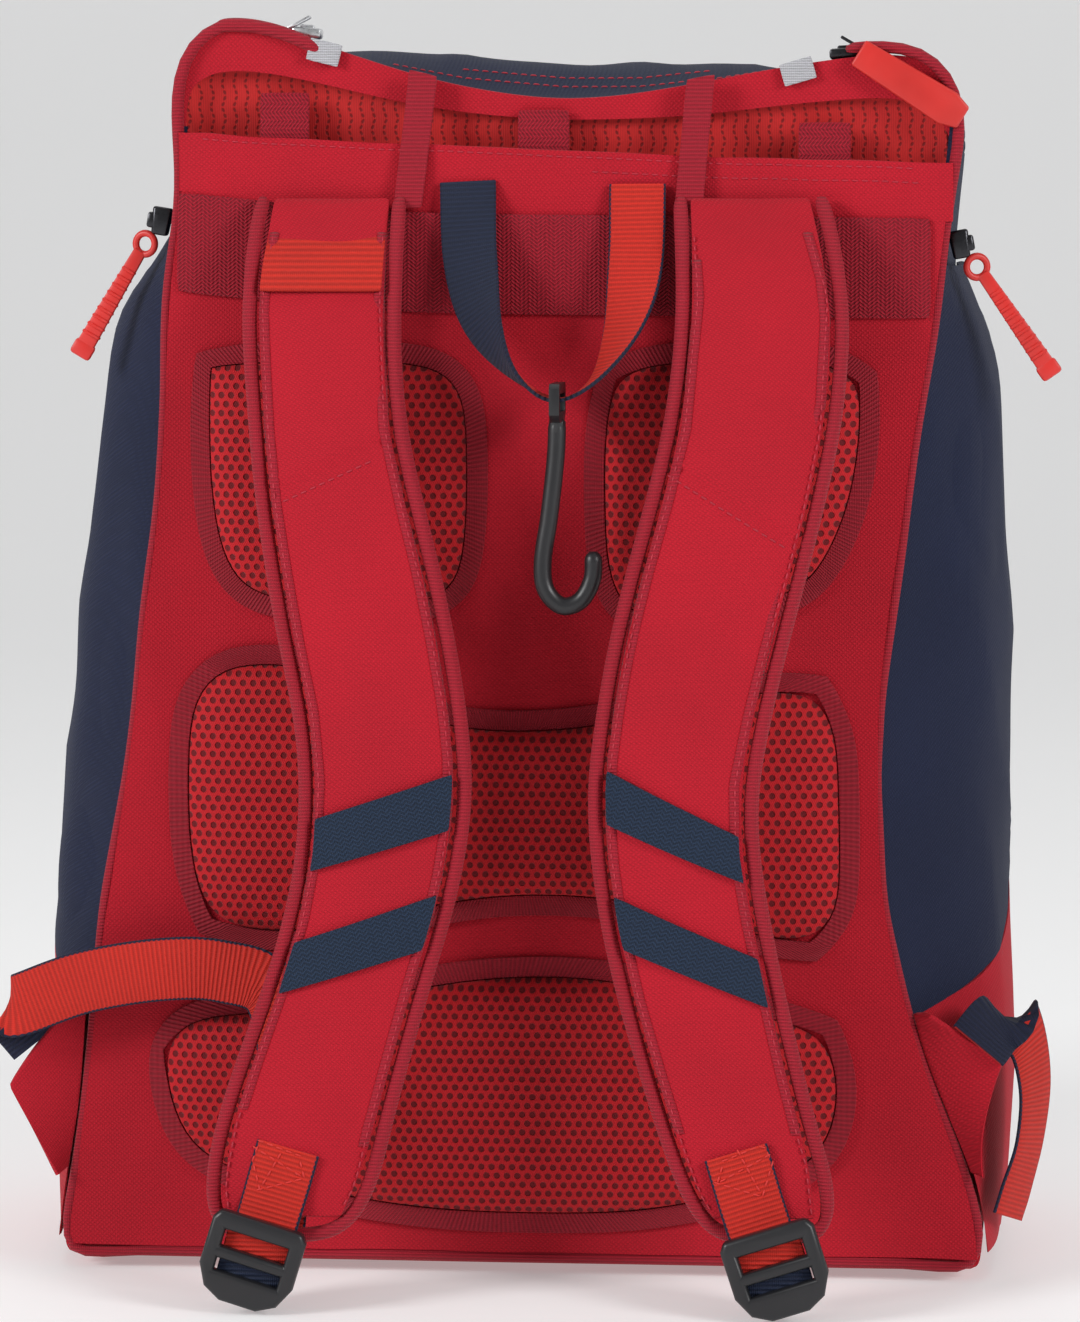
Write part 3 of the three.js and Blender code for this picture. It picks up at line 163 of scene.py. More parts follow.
def weave_of(look, thread):
    """Basket-woven polyester: its height, its loose fibres, and a tone with painted shade in the low pits
    between the threads and an uneven dye.
    """
    at = look.place()
    x, y, z = look.split(at)
    u = x + y * 0.9
    v = z + y * 0.6
    weave = look.wave(u + v, thread * 1.25) * look.wave(u - v, thread * 1.25)
    height = weave * 0.75 + look.wave(u * 0.55 + v, thread * 0.72) * 0.25
    fuzz = look.noise(at, 1500.0, 1.0)
    # Painted shade: darker where the weave is low, plus a real uneven dye and fuzz.
    relief_shade_and_mottle = look.math("MINIMUM", height * 0.62 + look.noise(at, 14.0, 3.0) * 0.5 + fuzz * 0.22 - 0.2, 1.0)
    return height, fuzz, look.math("MAXIMUM", relief_shade_and_mottle, 0.0)


def cloth_look(name, colour, thread):
    """Woven cloth in one colour."""
    look = Look(name, 0.82, 0.05, specular=0.25)
    height, fuzz, relief_shade_and_mottle = weave_of(look, thread)
    # The weave's low pits are painted darker as shade.
    base = look.mix(relief_shade_and_mottle, shade(colour, 0.6), shade(colour, 1.28))
    return look.finish(base, height + fuzz * 0.5, 0.5, 0.0005)


def ribbed_look(name, colour, rib=1.3 * MM, mapped=False, selvedge=None, reverse=None):
    """Ribbed tape: round ribs across it, painted darker as shade in the grooves between them, with another
    edge and another reverse where it has them.
    """
    look = Look(name, 0.72, 0.05, specular=0.3)
    at = look.place()
    if mapped:
        u, v, side = look.split(look.own_map())
    else:
        x, y, z = look.split(at)
        u = x
        v = z
    ribs = look.wave(v, rib)
    warp = look.wave(u, 0.8 * MM)
    fuzz = look.noise(at, 1100.0, 1.0)
    broad = look.noise(at, 30.0, 2.0)
    height = ribs * 0.8 + warp * 0.2
    # Painted shade: darker in the grooves between the ribs, with random fuzz and blotches.
    relief_shade_and_mottle = look.math("MINIMUM", height * 0.6 + fuzz * 0.25 + broad * 0.25, 1.0)
    base = look.mix(relief_shade_and_mottle, shade(colour, 0.5), shade(colour, 1.25))
    if reverse is not None:
        facing = look.node("ShaderNodeAttribute", {"attribute_name": "reverse"}, None, 2)
        base = look.mix(facing, base, look.mix(relief_shade_and_mottle, shade(reverse, 0.5), shade(reverse, 1.3)))
    if selvedge is not None:
        across = look.node("ShaderNodeAttribute", {"attribute_name": "across"}, None, 2)
        edge = look.step(across + ribs * 0.03, 0.935, 0.965)
        # The edge's colour is also painted darker between its ribs as shade.
        base = look.mix(edge, base, look.mix(ribs, shade(selvedge, 0.6), shade(selvedge, 1.3)))
    return look.finish(base, height + fuzz * 0.2, 0.7, 0.0007)


def webbing_look(name, colour, turn=0.0, rib=1.5 * MM, herringbone=3.4 * MM):
    """Woven tape: ribs in a herringbone, turned in the plane of the back, and painted darker as shade in the
    grooves between them.
    """
    look = Look(name, 0.75, 0.05, specular=0.25)
    at = look.place()
    x, y, z = look.split(at)
    u = x * math.cos(turn) + z * math.sin(turn)
    v = z * math.cos(turn) - x * math.sin(turn)
    zigzag = look.math("PINGPONG", u, herringbone)
    ribs = look.wave(v + zigzag * 0.8, rib)
    cords = look.wave(u, herringbone * 0.5)
    height = ribs * 0.7 + cords * 0.3
    fuzz = look.noise(at, 900.0, 1.0)
    # Painted shade: darker where the ribs and cords are low, with random fuzz.
    relief_shade_and_mottle = look.math("MINIMUM", height * 0.75 + fuzz * 0.3, 1.0)
    base = look.mix(relief_shade_and_mottle, shade(colour, 0.3), shade(colour, 1.35))
    return look.finish(base, height + fuzz * 0.2, 0.85, 0.0009)


def spacer_look(name, colour, hole_shade_colour, pitch=4.1 * MM, hole=1.28 * MM):
    """Knitted spacer mesh: rows of round holes in a honeycomb, painted dark as the shade inside the holes."""
    look = Look(name, 0.75, 0.05, specular=0.25)
    at = look.place()
    x, y, z = look.split(at)
    tall = pitch * 1.732

    def off_centre(shift):
        a = look.math("FRACT", x / pitch + shift) - 0.5
        b = look.math("FRACT", z / tall + shift) - 0.5
        a = a * pitch
        b = b * tall
        return look.math("SQRT", a * a + b * b)

    far = look.math("MINIMUM", off_centre(0.0), off_centre(0.5))
    knit = look.step(far, hole * 0.72, hole * 1.12)
    fuzz = look.noise(at, 1300.0, 1.0)
    yarn = look.wave(x + z * 0.5, 0.8 * MM) * 0.35 + fuzz * 0.45
    thread = look.mix(yarn, shade(colour, 0.72), shade(colour, 1.3))
    # Painted shade: the holes take the dark colour, and the yarn is lighter where it is raised.
    base = look.mix(knit, hole_shade_colour, thread)
    return look.finish(base, knit + yarn * 0.25, 0.8, 0.0011)


def lining_look(name, colour, hole_shade_colour):
    """Smooth knitted lining with small holes in zigzag columns, painted dark as the shade inside the holes,
    and ribs painted darker in their low parts.
    """
    look = Look(name, 0.7, 0.05, specular=0.3)
    at = look.place()
    x, y, z = look.split(at)
    row = 2.3 * MM
    column = 4.6 * MM
    bend = look.math("PINGPONG", z, row * 2) * 0.3
    a = (look.math("FRACT", (x + bend) / column) - 0.5) * column
    b = (look.math("FRACT", z / row) - 0.5) * row
    far = look.math("SQRT", a * a + b * b * 0.5)
    knit = look.step(far, 0.4 * MM, 0.75 * MM)
    fuzz = look.noise(at, 900.0, 1.0)
    ribs = look.wave(x, 0.9 * MM)
    # Painted shade: darker in the low parts of the ribs, with random fuzz.
    thread = look.mix(ribs * 0.5 + fuzz * 0.4, shade(colour, 0.8), shade(colour, 1.2))
    # Painted shade: the holes take the dark colour.
    return look.finish(look.mix(knit, hole_shade_colour, thread), knit + ribs * 0.2, 0.5, 0.0005)


def plastic_look(name, colour, roughness=0.38, grain=420.0):
    """Moulded plastic with a fine satin grain."""
    look = Look(name, roughness, specular=0.5)
    at = look.place()
    fine = look.noise(at, grain, 2.0)
    broad = look.noise(at, 40.0, 2.0)
    base = look.mix(broad, shade(colour, 0.75), shade(colour, 1.35))
    return look.finish(base, fine, 0.12, 0.0003, fine * 0.14 + (roughness - 0.07))


def metal_look(name, colour):
    """Brushed metal with faint smears."""
    look = Look(name, 0.3, metallic=1.0)
    at = look.place()
    fine = look.noise(at, 700.0, 2.0)
    return look.finish(look.mix(fine, shade(colour, 0.8), shade(colour, 1.15)), fine, 0.08, 0.0002,
                       fine * 0.2 + 0.2)


def rows_of(columns, *rows):
    """A short table: each row as a dictionary under the named columns."""
    return [dict(zip(columns.split(), row)) for row in rows]


def ramp(value, low, high):
    """0 at low, 1 at high and straight between them."""
    return np.clip((value - low) / (high - low), 0.0, 1.0)


def deselect():
    bpy.ops.object.select_all(action="DESELECT")


def pick(piece):
    deselect()
    bpy.context.view_layer.objects.active = piece
    piece.select_set(True)


def apply_modifiers(piece):
    pick(piece)
    for modifier in list(piece.modifiers):
        bpy.ops.object.modifier_apply(modifier=modifier.name)


def points_of(piece):
    found = np.empty(len(piece.data.vertices) * 3, np.float64)
    piece.data.vertices.foreach_get("co", found)
    return found.reshape(-1, 3)


def move_points(piece, places):
    piece.data.vertices.foreach_set("co", np.ascontiguousarray(places, np.float64).ravel())
    piece.data.update()


def normals_of(piece):
    found = np.empty(len(piece.data.vertices) * 3, np.float32)
    piece.data.vertices.foreach_get("normal", found)
    return found.reshape(-1, 3)


def new_piece(name, vertices, faces):
    mesh = bpy.data.meshes.new(name)
    mesh.from_pydata([tuple(map(float, p)) for p in vertices], [], faces)
    mesh.validate()
    piece = bpy.data.objects.new(name, mesh)
    bpy.context.scene.collection.objects.link(piece)
    return piece


def copy_of(node, name):
    """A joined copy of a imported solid, in quads where its faces pair up."""
    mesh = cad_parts[node].data.copy()
    mesh.materials.clear()
    piece = bpy.data.objects.new(name, mesh)
    bpy.context.scene.collection.objects.link(piece)
    pick(piece)
    bpy.ops.object.mode_set(mode="EDIT")
    bpy.ops.mesh.select_all(action="SELECT")
    bpy.ops.mesh.remove_doubles(threshold=2e-5)
    bpy.ops.mesh.tris_convert_to_quads(face_threshold=math.radians(50), shape_threshold=math.radians(70))
    if mesh.has_custom_normals:
        bpy.ops.mesh.customdata_custom_splitnormals_clear()
    bpy.ops.object.mode_set(mode="OBJECT")
    return piece


def crease(piece, angle, amount=1.0):
    """Holds the edges that turn by more than the angle when the piece is subdivided."""
    work = bmesh.new()
    work.from_mesh(piece.data)
    layer = work.edges.layers.float.get("crease_edge") or work.edges.layers.float.new("crease_edge")
    for edge in work.edges:
        if len(edge.link_faces) == 2 and edge.calc_face_angle(0.0) > math.radians(angle):
            edge[layer] = amount
    work.to_mesh(piece.data)
    work.free()


def subdivide(piece, levels):
    modifier = piece.modifiers.new("smooth", "SUBSURF")
    modifier.levels = levels
    modifier.render_levels = levels
    apply_modifiers(piece)


def dress(piece, look, body="bag", nodes=(), angle=None):
    """Gives a finished piece its material, its body and the solids that it stands for."""
    piece.data.materials.clear()
    piece.data.materials.append(look)
    for polygon in piece.data.polygons:
        polygon.use_smooth = True
    if angle is not None:
        pick(piece)
        bpy.ops.object.shade_smooth_by_angle(angle=math.radians(angle))
    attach(piece, body)
    if nodes:
        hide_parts(*nodes)
    return piece


def slouch(places):
    """Soft hollows and swells that every sewn piece follows together, so that seams stay shut."""
    moved = places.copy()
    for i, (x, y, z) in enumerate(places):
        broad = noise.noise(Vector((x * 9.0, y * 7.0, z * 8.0 + 3.1)))
        near = noise.noise(Vector((x * 24.0 + 5.0, y * 20.0, z * 19.0)))
        fade = min(1.0, max(0.0, z / 0.06)) * min(1.0, max(0.0, (0.52 - z) / 0.05))
        push = (2.6 * broad + 1.2 * near) * MM * fade
        out = Vector((x / half_back, y / 0.11, 0.0))
        out.normalize()
        moved[i] = (x + out.x * push, y + out.y * push, z)
    return moved


def smooth_below(piece, degrees):
    """Smooth shading across every edge that bends less than this."""
    pick(piece)
    bpy.ops.object.shade_smooth_by_angle(angle=math.radians(degrees))


def join_flat_faces(piece, degrees):
    """Makes one face of the triangles that lie flat together."""
    pick(piece)
    bpy.ops.object.mode_set(mode="EDIT")
    bpy.ops.mesh.select_all(action="SELECT")
    bpy.ops.mesh.dissolve_limited(angle_limit=math.radians(degrees))
    bpy.ops.object.mode_set(mode="OBJECT")


def round_edges(piece, width, segments, angle=30.0):
    """Rounds every edge that bends more than the angle, which is in degrees."""
    rounding = piece.modifiers.new("round", "BEVEL")
    rounding.width = width
    rounding.segments = segments
    rounding.angle_limit = math.radians(angle)
    apply_modifiers(piece)


def tree_of(piece):
    """A finished piece as something that pins can be pushed into."""
    mesh = piece.data
    faces = [tuple(p.vertices) for p in mesh.polygons]
    return BVHTree.FromPolygons([v.co.copy() for v in mesh.vertices], faces)


def front_of(tree, x, z):
    """The first point that a pin pushed in from the harness side meets."""
    place, normal = tree.ray_cast(Vector((x, -0.6, z)), Vector((0.0, 1.0, 0.0)))[:2]
    if place is None:
        return None, None
    return place, normal if normal.y < 0 else -normal


def stitch_run(path, step):
    """Places along a polyline at even steps, with the way it runs there."""
    places = []
    left = 0.0
    for (a, na), (b, nb) in zip(path, path[1:]):
        along = b - a
        size = along.length
        if size < 1e-7:
            continue
        while left < size:
            share = left / size
            places.append((a + along * share, along / size, (na * (1 - share) + nb * share).normalized()))
            left += step
        left -= size
    return places


def stitches(name, runs, look):
    """Rows of thread: each stitch is a short rounded grain that dips at both ends."""
    length, gap, wide, high = 2.7 * MM, 1.2 * MM, 0.75 * MM, 0.45 * MM
    vertices = []
    faces = []
    ring = [(-1.0, -0.35), (-0.62, 0.62), (0.62, 0.62), (1.0, -0.35)]
    grain = [(-0.5, 0.35, -0.7), (-0.28, 0.95, 0.1), (0.28, 0.95, 0.1), (0.5, 0.35, -0.7)]
    for run in runs:
        for at, along, out in stitch_run(run, length + gap):
            across = along.cross(out).normalized()
            up = across.cross(along).normalized()
            start = len(vertices)
            for share, grow, lift in grain:
                for a, b in ring:
                    vertices.append(at + along * (share * length) + across * (a * grow * wide / 2)
                                    + up * (b * grow * high + lift * high * 0.6))
            for k in range(3):
                for i in range(4):
                    a = start + k * 4 + i
                    b = start + k * 4 + (i + 1) % 4
                    faces.append((a, a + 4, b + 4, b))
            faces.append((start, start + 1, start + 2, start + 3))
            faces.append((start + 15, start + 14, start + 13, start + 12))
    piece = new_piece(name, vertices, faces)
    pick(piece)
    bpy.ops.object.mode_set(mode="EDIT")
    bpy.ops.mesh.select_all(action="SELECT")
    bpy.ops.mesh.normals_make_consistent(inside=False)
    bpy.ops.object.mode_set(mode="OBJECT")
    return dress(piece, look)


def run_on(tree, points, lift=0.15 * MM, parts=6):
    """A stitch row that follows a piece below straight stretches given in x and z, in millimetres."""
    row = []
    for (xa, za), (xb, zb) in zip(points, points[1:]):
        for k in range(parts):
            share = k / parts
            at, normal = front_of(tree, (xa + (xb - xa) * share) * MM, (za + (zb - za) * share) * MM)
            if at is not None:
                row.append((at + normal * lift, normal))
    at, normal = front_of(tree, points[-1][0] * MM, points[-1][1] * MM)
    if at is not None:
        row.append((at + normal * lift, normal))
    return row


def column(rows, z, key):
    """A value of a table at a height between its rows."""
    ordered = sorted(rows, key=lambda row: row["z"])
    return float(np.interp(z, [row["z"] for row in ordered], [row[key] for row in ordered]))


def on_curve(points, count):
    """Even shares along a smooth open curve through the points."""
    points = [np.array(p, float) for p in points]
    ends = [points[0] * 2 - points[1]] + points + [points[-1] * 2 - points[-2]]
    made = []
    for k in range(count):
        t = k / (count - 1) * (len(points) - 1)
        i = min(int(t), len(points) - 2)
        f = t - i
        a, b, c, d = ends[i:i + 4]
        made.append(0.5 * (2 * b + (c - a) * f + (2 * a - 5 * b + 4 * c - d) * f * f
                           + (3 * b - a - 3 * c + d) * f ** 3))
    return np.array(made)


def ring_faces(first, rings, count):
    """The faces of a closed rod of vertex rings: its sides, then its two ends."""
    faces = []
    for k in range(rings - 1):
        for i in range(count):
            a = first + k * count + i
            b = first + k * count + (i + 1) % count
            faces.append((a, b, b + count, a + count))
    last = first + (rings - 1) * count
    return faces + [tuple(first + i for i in range(count))[::-1], tuple(last + i for i in range(count))]


def face_out(piece):
    """Turns a closed piece round if its faces point inwards."""
    work = bmesh.new()
    work.from_mesh(piece.data)
    if work.calc_volume(signed=True) < 0:
        bmesh.ops.reverse_faces(work, faces=work.faces)
    work.to_mesh(piece.data)
    work.free()


def tube(name, points, radius, sides=14, steps=60, flat=1.0):
    """A closed rod along a smooth curve in the plane of x and z, a little flatter across where asked."""
    centre = on_curve(points, steps)
    along = np.gradient(centre, axis=0)
    along /= np.linalg.norm(along, axis=1)[:, None]
    out = np.tile(np.array([0.0, -1.0, 0.0]), (steps, 1))
    out -= along * np.sum(along * out, axis=1)[:, None]
    out /= np.linalg.norm(out, axis=1)[:, None]
    across = np.cross(along, out)
    vertices = []
    for k in range(steps):
        end = min(k, steps - 1 - k)
        grow = (0.45, 0.8, 0.95)[end] if end < 3 else 1.0
        for i in range(sides):
            turn = math.tau * i / sides
            spoke = across[k] * math.cos(turn) + out[k] * math.sin(turn) * flat
            vertices.append(centre[k] + spoke * radius * grow)
    piece = new_piece(name, vertices, ring_faces(0, steps, sides))
    face_out(piece)
    return piece


# Where the padded straps lie: shares of the half width and of the height, in percent.
strap_tables = {
    "left": rows_of("z outer inner",
        (84.0, -57.6, -25.0), (78.0, -59.3, -24.9), (68.0, -57.0, -22.9), (62.4, -55.1, -19.3),
        (57.0, -52.7, -15.5), (51.6, -50.0, -12.4), (46.4, -47.1, -10.0), (41.0, -45.8, -8.7),
        (35.6, -46.5, -10.1), (30.0, -49.3, -13.5), (24.4, -53.7, -18.0), (19.0, -58.7, -22.0),
        (14.0, -62.9, -25.6), (9.6, -64.9, -28.4), (6.8, -63.8, -32.7)),
    "right": rows_of("z outer inner",
        (84.0, 62.8, 29.8), (78.0, 67.8, 31.3), (68.0, 66.7, 29.2), (62.4, 63.7, 25.7), (57.0, 60.2, 21.8),
        (51.6, 56.2, 18.3), (46.4, 52.8, 16.0), (41.0, 49.9, 14.1), (35.6, 50.1, 14.6), (30.0, 52.7, 16.8),
        (24.4, 56.1, 20.3), (19.0, 59.5, 24.6), (14.0, 63.0, 28.9), (9.6, 66.6, 33.3), (6.8, 65.8, 38.2)),
}
# The sewn join across each strap: its two ends, x and z in millimetres.
strap_joins = {"left": ((-106.0, 310.5), (-55.0, 334.0)), "right": ((56.0, 329.0), (104.0, 300.0))}

# Each sewn panel: its solid, its finished name, the levels of smoothing, its finish and its slot.
panels = rows_of(
    "node name levels finish slot",
    ("back_panel", "back_red", 3, "red", "red_cloth"),
    ("sleeve_band", "pocket_hem", 3, "red", "red_cloth"),
    ("sleeve_lining", "pocket_lining", 2, "lining", "orange_mesh"),
    ("top_band", "zip_band", 3, "red", "red_cloth"),
    ("side_left", "wall_left", 3, "two_tone", "navy_cloth"),
    ("side_right", "wall_right", 3, "two_tone", "navy_cloth"),
    ("front_upper", "far_wall_high", 2, "navy", "navy_cloth"),
    ("front_lower", "far_wall_low", 3, "red", "red_cloth"),
    ("base", "base_tray", 2, "red", "red_cloth"),
    ("lid", "lid_cloth", 2, "navy", "navy_cloth"),
    ("top_zip_tape", "zip_tape", 2, "zip", "navy_cloth"),
    ("sleeve_left", "bat_pocket_left", 2, "navy", "navy_cloth"),
    ("sleeve_right", "bat_pocket_right", 2, "navy", "navy_cloth"),
    ("sleeve_foot_left", "bat_foot_left", 3, "red", "red_cloth"),
    ("sleeve_foot_right", "bat_foot_right", 3, "red", "red_cloth"),
    ("wing_left", "gusset_left", 3, "red", "red_cloth"),
    ("wing_right", "gusset_right", 3, "red", "red_cloth"))
# Flat tapes sewn to the back and the straps.
tapes = rows_of(
    "node name finish slot",
    ("wide_webbing", "tape_across", "dark_webbing", "red_webbing"),
    ("tab_left", "keeper_left", "dark_webbing_up", "red_webbing"),
    ("tab_centre", "keeper_centre", "dark_webbing_up", "red_webbing"),
    ("tab_right", "keeper_right", "dark_webbing_up", "red_webbing"),
    ("bridge_left", "bridge_tape_left", "bridge_ribs", "red_webbing"),
    ("bridge_right", "bridge_tape_right", "bridge_ribs", "red_webbing"),
    ("ribbon_upper_left", "pad_rim_upper_left", "rim", "red_webbing"),
    ("ribbon_upper_right", "pad_rim_upper_right", "rim", "red_webbing"),
    ("ribbon_lumbar", "pad_rim_lumbar", "rim", "red_webbing"),
    ("ribbon_seat", "pad_rim_seat", "rim", "red_webbing"),
    ("stripe_left_high", "stripe_tape_1", "blue_webbing", "navy_webbing"),
    ("stripe_left_low", "stripe_tape_2", "blue_webbing", "navy_webbing"),
    ("stripe_right_high", "stripe_tape_3", "blue_webbing_right", "navy_webbing"),
    ("stripe_right_low", "stripe_tape_4", "blue_webbing_right", "navy_webbing"),
    ("strap_band_left", "strap_tape", "orange_ribs", "two_tone_webbing"))
pads = ["pad_upper_left", "pad_upper_right", "pad_lumbar", "pad_seat"]

# Tapes that run free of the back: x and z in percent, out in mm in front of the back, side the way across.
band_rows = {
    "webbing_left": rows_of("x z out side",
        (-105.4, 18.6, 4.6, (0.6, 0, 0.8)), (-109.2, 20.4, 6.5, (0.5, 0, 0.87)),
        (-111.0, 21.4, 11, (0.4, 0, 0.92)), (-107.5, 21.9, 15, (0.3, 0, 0.95)),
        (-94.0, 23.8, 18, (-0.1, 0, 1)), (-77.0, 25.0, 22, (0, 0, 1)), (-64.0, 25.0, 25, (0.0, 0, 1)),
        (-53.0, 23.4, 29, (0.4, 0, 0.92)), (-48.5, 16.6, 38, (0.97, 0, 0.2)),
        (-50.5, 9.0, 51, (1, 0, 0.1)), (-51.4, 5.4, 52.5, (1, 0, 0.2)), (-52.6, 3.0, 60, (1, 0, 0.25)),
        (-53.4, 2.5, 70, (1, 0, 0.3)), (-53.8, 3.0, 77.6, (1, 0, 0.3))),
    "webbing_right": rows_of("x z out side",
        (95.0, 19.4, 8.4, (0.87, 0, -0.49)), (99.6, 21.0, -2, (0.82, 0.4, -0.38)),
        (104.6, 19.8, -14, (0.62, 0.75, -0.1)), (107.0, 15.6, -18, (0.5, 0.87, 0)),
        (106.0, 11.0, -17, (0.45, 0.9, 0)), (103.2, 7.2, -14, (0.5, 0.85, 0)),
        (101.4, 5.0, -12, (0.5, 0.85, 0))),
    "webbing_buckle_right": rows_of("x z out side",
        (47.0, 17.0, 47, (1, 0, 0)), (49.0, 9.0, 51, (1, 0, -0.1)), (50.6, 5.4, 52.5, (1, 0, -0.2)),
        (52.4, 3.0, 60, (1, 0, -0.25)), (53.6, 2.5, 70, (1, 0, -0.3)), (54.0, 3.0, 77.6, (1, 0, -0.3))),
    "grab_loop": rows_of("x z out side",
        (-12.8, 87.0, 4.8, (1, 0, 0)), (-11.8, 81.0, 14, (0.97, -0.2, 0.15)),
        (-8.2, 76.0, 26, (0.7, -0.7, 0.1)), (-0.6, 71.9, 35, (0.2, -0.98, 0)), (7.5, 70.2, 38, (0, -1, 0)),
        (15.6, 71.9, 35, (0.2, -0.98, 0)), (21.0, 76.0, 26, (0.7, -0.7, -0.1)),
        (22.8, 81.0, 14, (0.97, -0.2, -0.15)), (22.8, 86.8, 4.8, (1, 0, 0))),
    "end_tab_left": rows_of("x z out side",
        (-46.9, 12.6, 67.6, (1, 0, 0.26)), (-49.4, 9.2, 70.0, (1, 0, 0.28)),
        (-51.6, 6.2, 74.2, (1, 0, 0.3)), (-52.6, 4.6, 76.4, (1, 0, 0.3))),
    "end_tab_right": rows_of("x z out side",
        (45.6, 12.8, 67.6, (1, 0, -0.28)), (48.6, 9.2, 70.0, (1, 0, -0.3)),
        (51.4, 6.2, 74.2, (1, 0, -0.33)), (52.6, 4.6, 76.4, (1, 0, -0.33))),
}
# Each free tape: its solid, its finished name, its width in millimetres and its finish.
bands = rows_of(
    "node name wide finish",
    ("webbing_left", "adjuster_left", 25, "orange_navy"),
    ("webbing_right", "adjuster_right", 25, "orange_navy"),
    ("webbing_buckle_right", "adjuster_right_low", 25, "orange_navy"),
    ("grab_loop", "hanging_loop", 22, "navy_orange"),
    ("end_tab_left", "strap_end_left", 25, "orange_ribs_mapped"),
    ("end_tab_right", "strap_end_right", 25, "orange_ribs_mapped"))


class BackpackColours(bpy.types.PropertyGroup):
    """Dyes and plastics of the bag."""
    red: bpy.props.FloatVectorProperty(name="Red cloth", description="Back, straps and lower panels",
                                       default=(0.49, 0.006, 0.02), size=3, subtype="COLOR")
    navy: bpy.props.FloatVectorProperty(name="Navy cloth", description="Side walls, lid and bat pockets",
                                        default=(0.0105, 0.0155, 0.046), size=3, subtype="COLOR")
    edge: bpy.props.FloatVectorProperty(name="Dark red tape", description="Binding, piping and sewn tapes",
                                        default=(0.36, 0.007, 0.022), size=3, subtype="COLOR")
    orange: bpy.props.FloatVectorProperty(name="Orange red tape", description="Loop, strap ends and lining",
                                          default=(0.54, 0.018, 0.009), size=3, subtype="COLOR")
    blue: bpy.props.FloatVectorProperty(name="Blue tape", description="Stripes across the straps",
                                        default=(0.015, 0.031, 0.066), size=3, subtype="COLOR")


class BackpackSizes(bpy.types.PropertyGroup):
    """Sizes of the detail that is sewn and woven."""
    thread: bpy.props.FloatProperty(name="Thread", description="Repeat of the cloth's weave",
                                    default=1.5 * MM, unit="LENGTH")
    tape: bpy.props.FloatProperty(name="Tape", description="Thickness of the free tapes",
                                  default=1.5 * MM, unit="LENGTH")


made = {}


def make_looks():
    """Makes every look once, under the name that the tables use."""
    colours = bpy.context.scene.backpack_colours
    sizes = bpy.context.scene.backpack_sizes
    red, navy, edge = tuple(colours.red), tuple(colours.navy), tuple(colours.edge)
    orange, blue = tuple(colours.orange), tuple(colours.blue)
    dark = (0.006, 0.009, 0.03)
    made.update({
        "red": cloth_look("red_weave", red, sizes.thread),
        "navy": cloth_look("navy_weave", navy, sizes.thread),
        "two_tone": wall_look("wall_weave", navy, red, sizes.thread),
        "binding": ribbed_look("binding_tape", edge, 1.35 * MM),
        "binding_flat": ribbed_look("binding_fold", shade(edge, 1.1), 1.35 * MM),
        "rim": ribbed_look("pad_rim_tape", shade(edge, 0.85), 1.9 * MM, mapped=True),
        "bridge_ribs": ribbed_look("bridge_tape", shade(edge, 0.95), 1.5 * MM),
        # The second colours of the lining and of the spacer mesh are painted shade in their holes.
        "lining": lining_look("lining_knit", (0.5, 0.013, 0.013), (0.2, 0.005, 0.006, 1.0)),
        "spacer": spacer_look("spacer_knit", (0.5, 0.008, 0.014), (0.13, 0.003, 0.006, 1.0)),
        "dark_webbing": webbing_look("herringbone_tape", edge),
        "dark_webbing_up": webbing_look("herringbone_tape_up", edge, turn=math.pi / 2),
        "blue_webbing": webbing_look("blue_tape", blue, math.radians(15), 1.7 * MM, 1.7 * MM),
        "blue_webbing_right": webbing_look("blue_tape_right", blue, math.radians(-19), 1.7 * MM, 1.7 * MM),
        "orange_ribs": ribbed_look("ribbed_tape", orange, 2.2 * MM),
        "orange_ribs_mapped": ribbed_look("ribbed_tape_end", orange, 1.9 * MM, True, dark),
        "orange_navy": ribbed_look("two_face_tape", orange, 1.9 * MM, True, dark, dark),
        "navy_orange": ribbed_look("two_face_loop", (0.010, 0.016, 0.04), 1.9 * MM, True, dark, orange),
        "thread": plastic_look("red_thread", (0.4, 0.012, 0.03), 0.6, 900.0),
        "thread_orange": plastic_look("orange_thread", (0.62, 0.025, 0.02), 0.6, 900.0),
        "black": plastic_look("black_satin", (0.012, 0.012, 0.014)),
        "rubber": plastic_look("red_rubber", (0.55, 0.02, 0.015), 0.42, 300.0),
        "grey": ribbed_look("grey_ribbon", (0.5, 0.5, 0.53), 1.0 * MM),
        "silver": metal_look("bright_metal", (0.75, 0.76, 0.78)),
        "dark_metal": metal_look("dark_metal", (0.05, 0.05, 0.055)),
        "zip": ribbed_look("zip_tape", (0.012, 0.014, 0.022), 1.2 * MM),
        "ribbon_fill": ribbed_look("ribbed_tape_fold", orange, 1.9 * MM),
        "navy_ribs": ribbed_look("navy_tape", (0.012, 0.02, 0.05), 1.9 * MM),
    })


def wall_look(name, high, low, thread):
    """The side walls: navy cloth above and red below a slanting seam."""
    look = Look(name, 0.82, 0.05, specular=0.25)
    height, fuzz, relief_shade_and_mottle = weave_of(look, thread)
    x, y, z = look.split(look.place())
    seam = look.step(z - y * 0.32, 0.1795, 0.1798)
    # Both halves have the weave's low pits painted darker as shade; the two colours on either side of the
    # seam are real.
    blue = look.mix(relief_shade_and_mottle, shade(high, 0.6), shade(high, 1.28))
    red = look.mix(relief_shade_and_mottle, shade(low, 0.6), shade(low, 1.28))
    return look.finish(look.mix(seam, red, blue), height + fuzz * 0.5, 0.5, 0.0005)


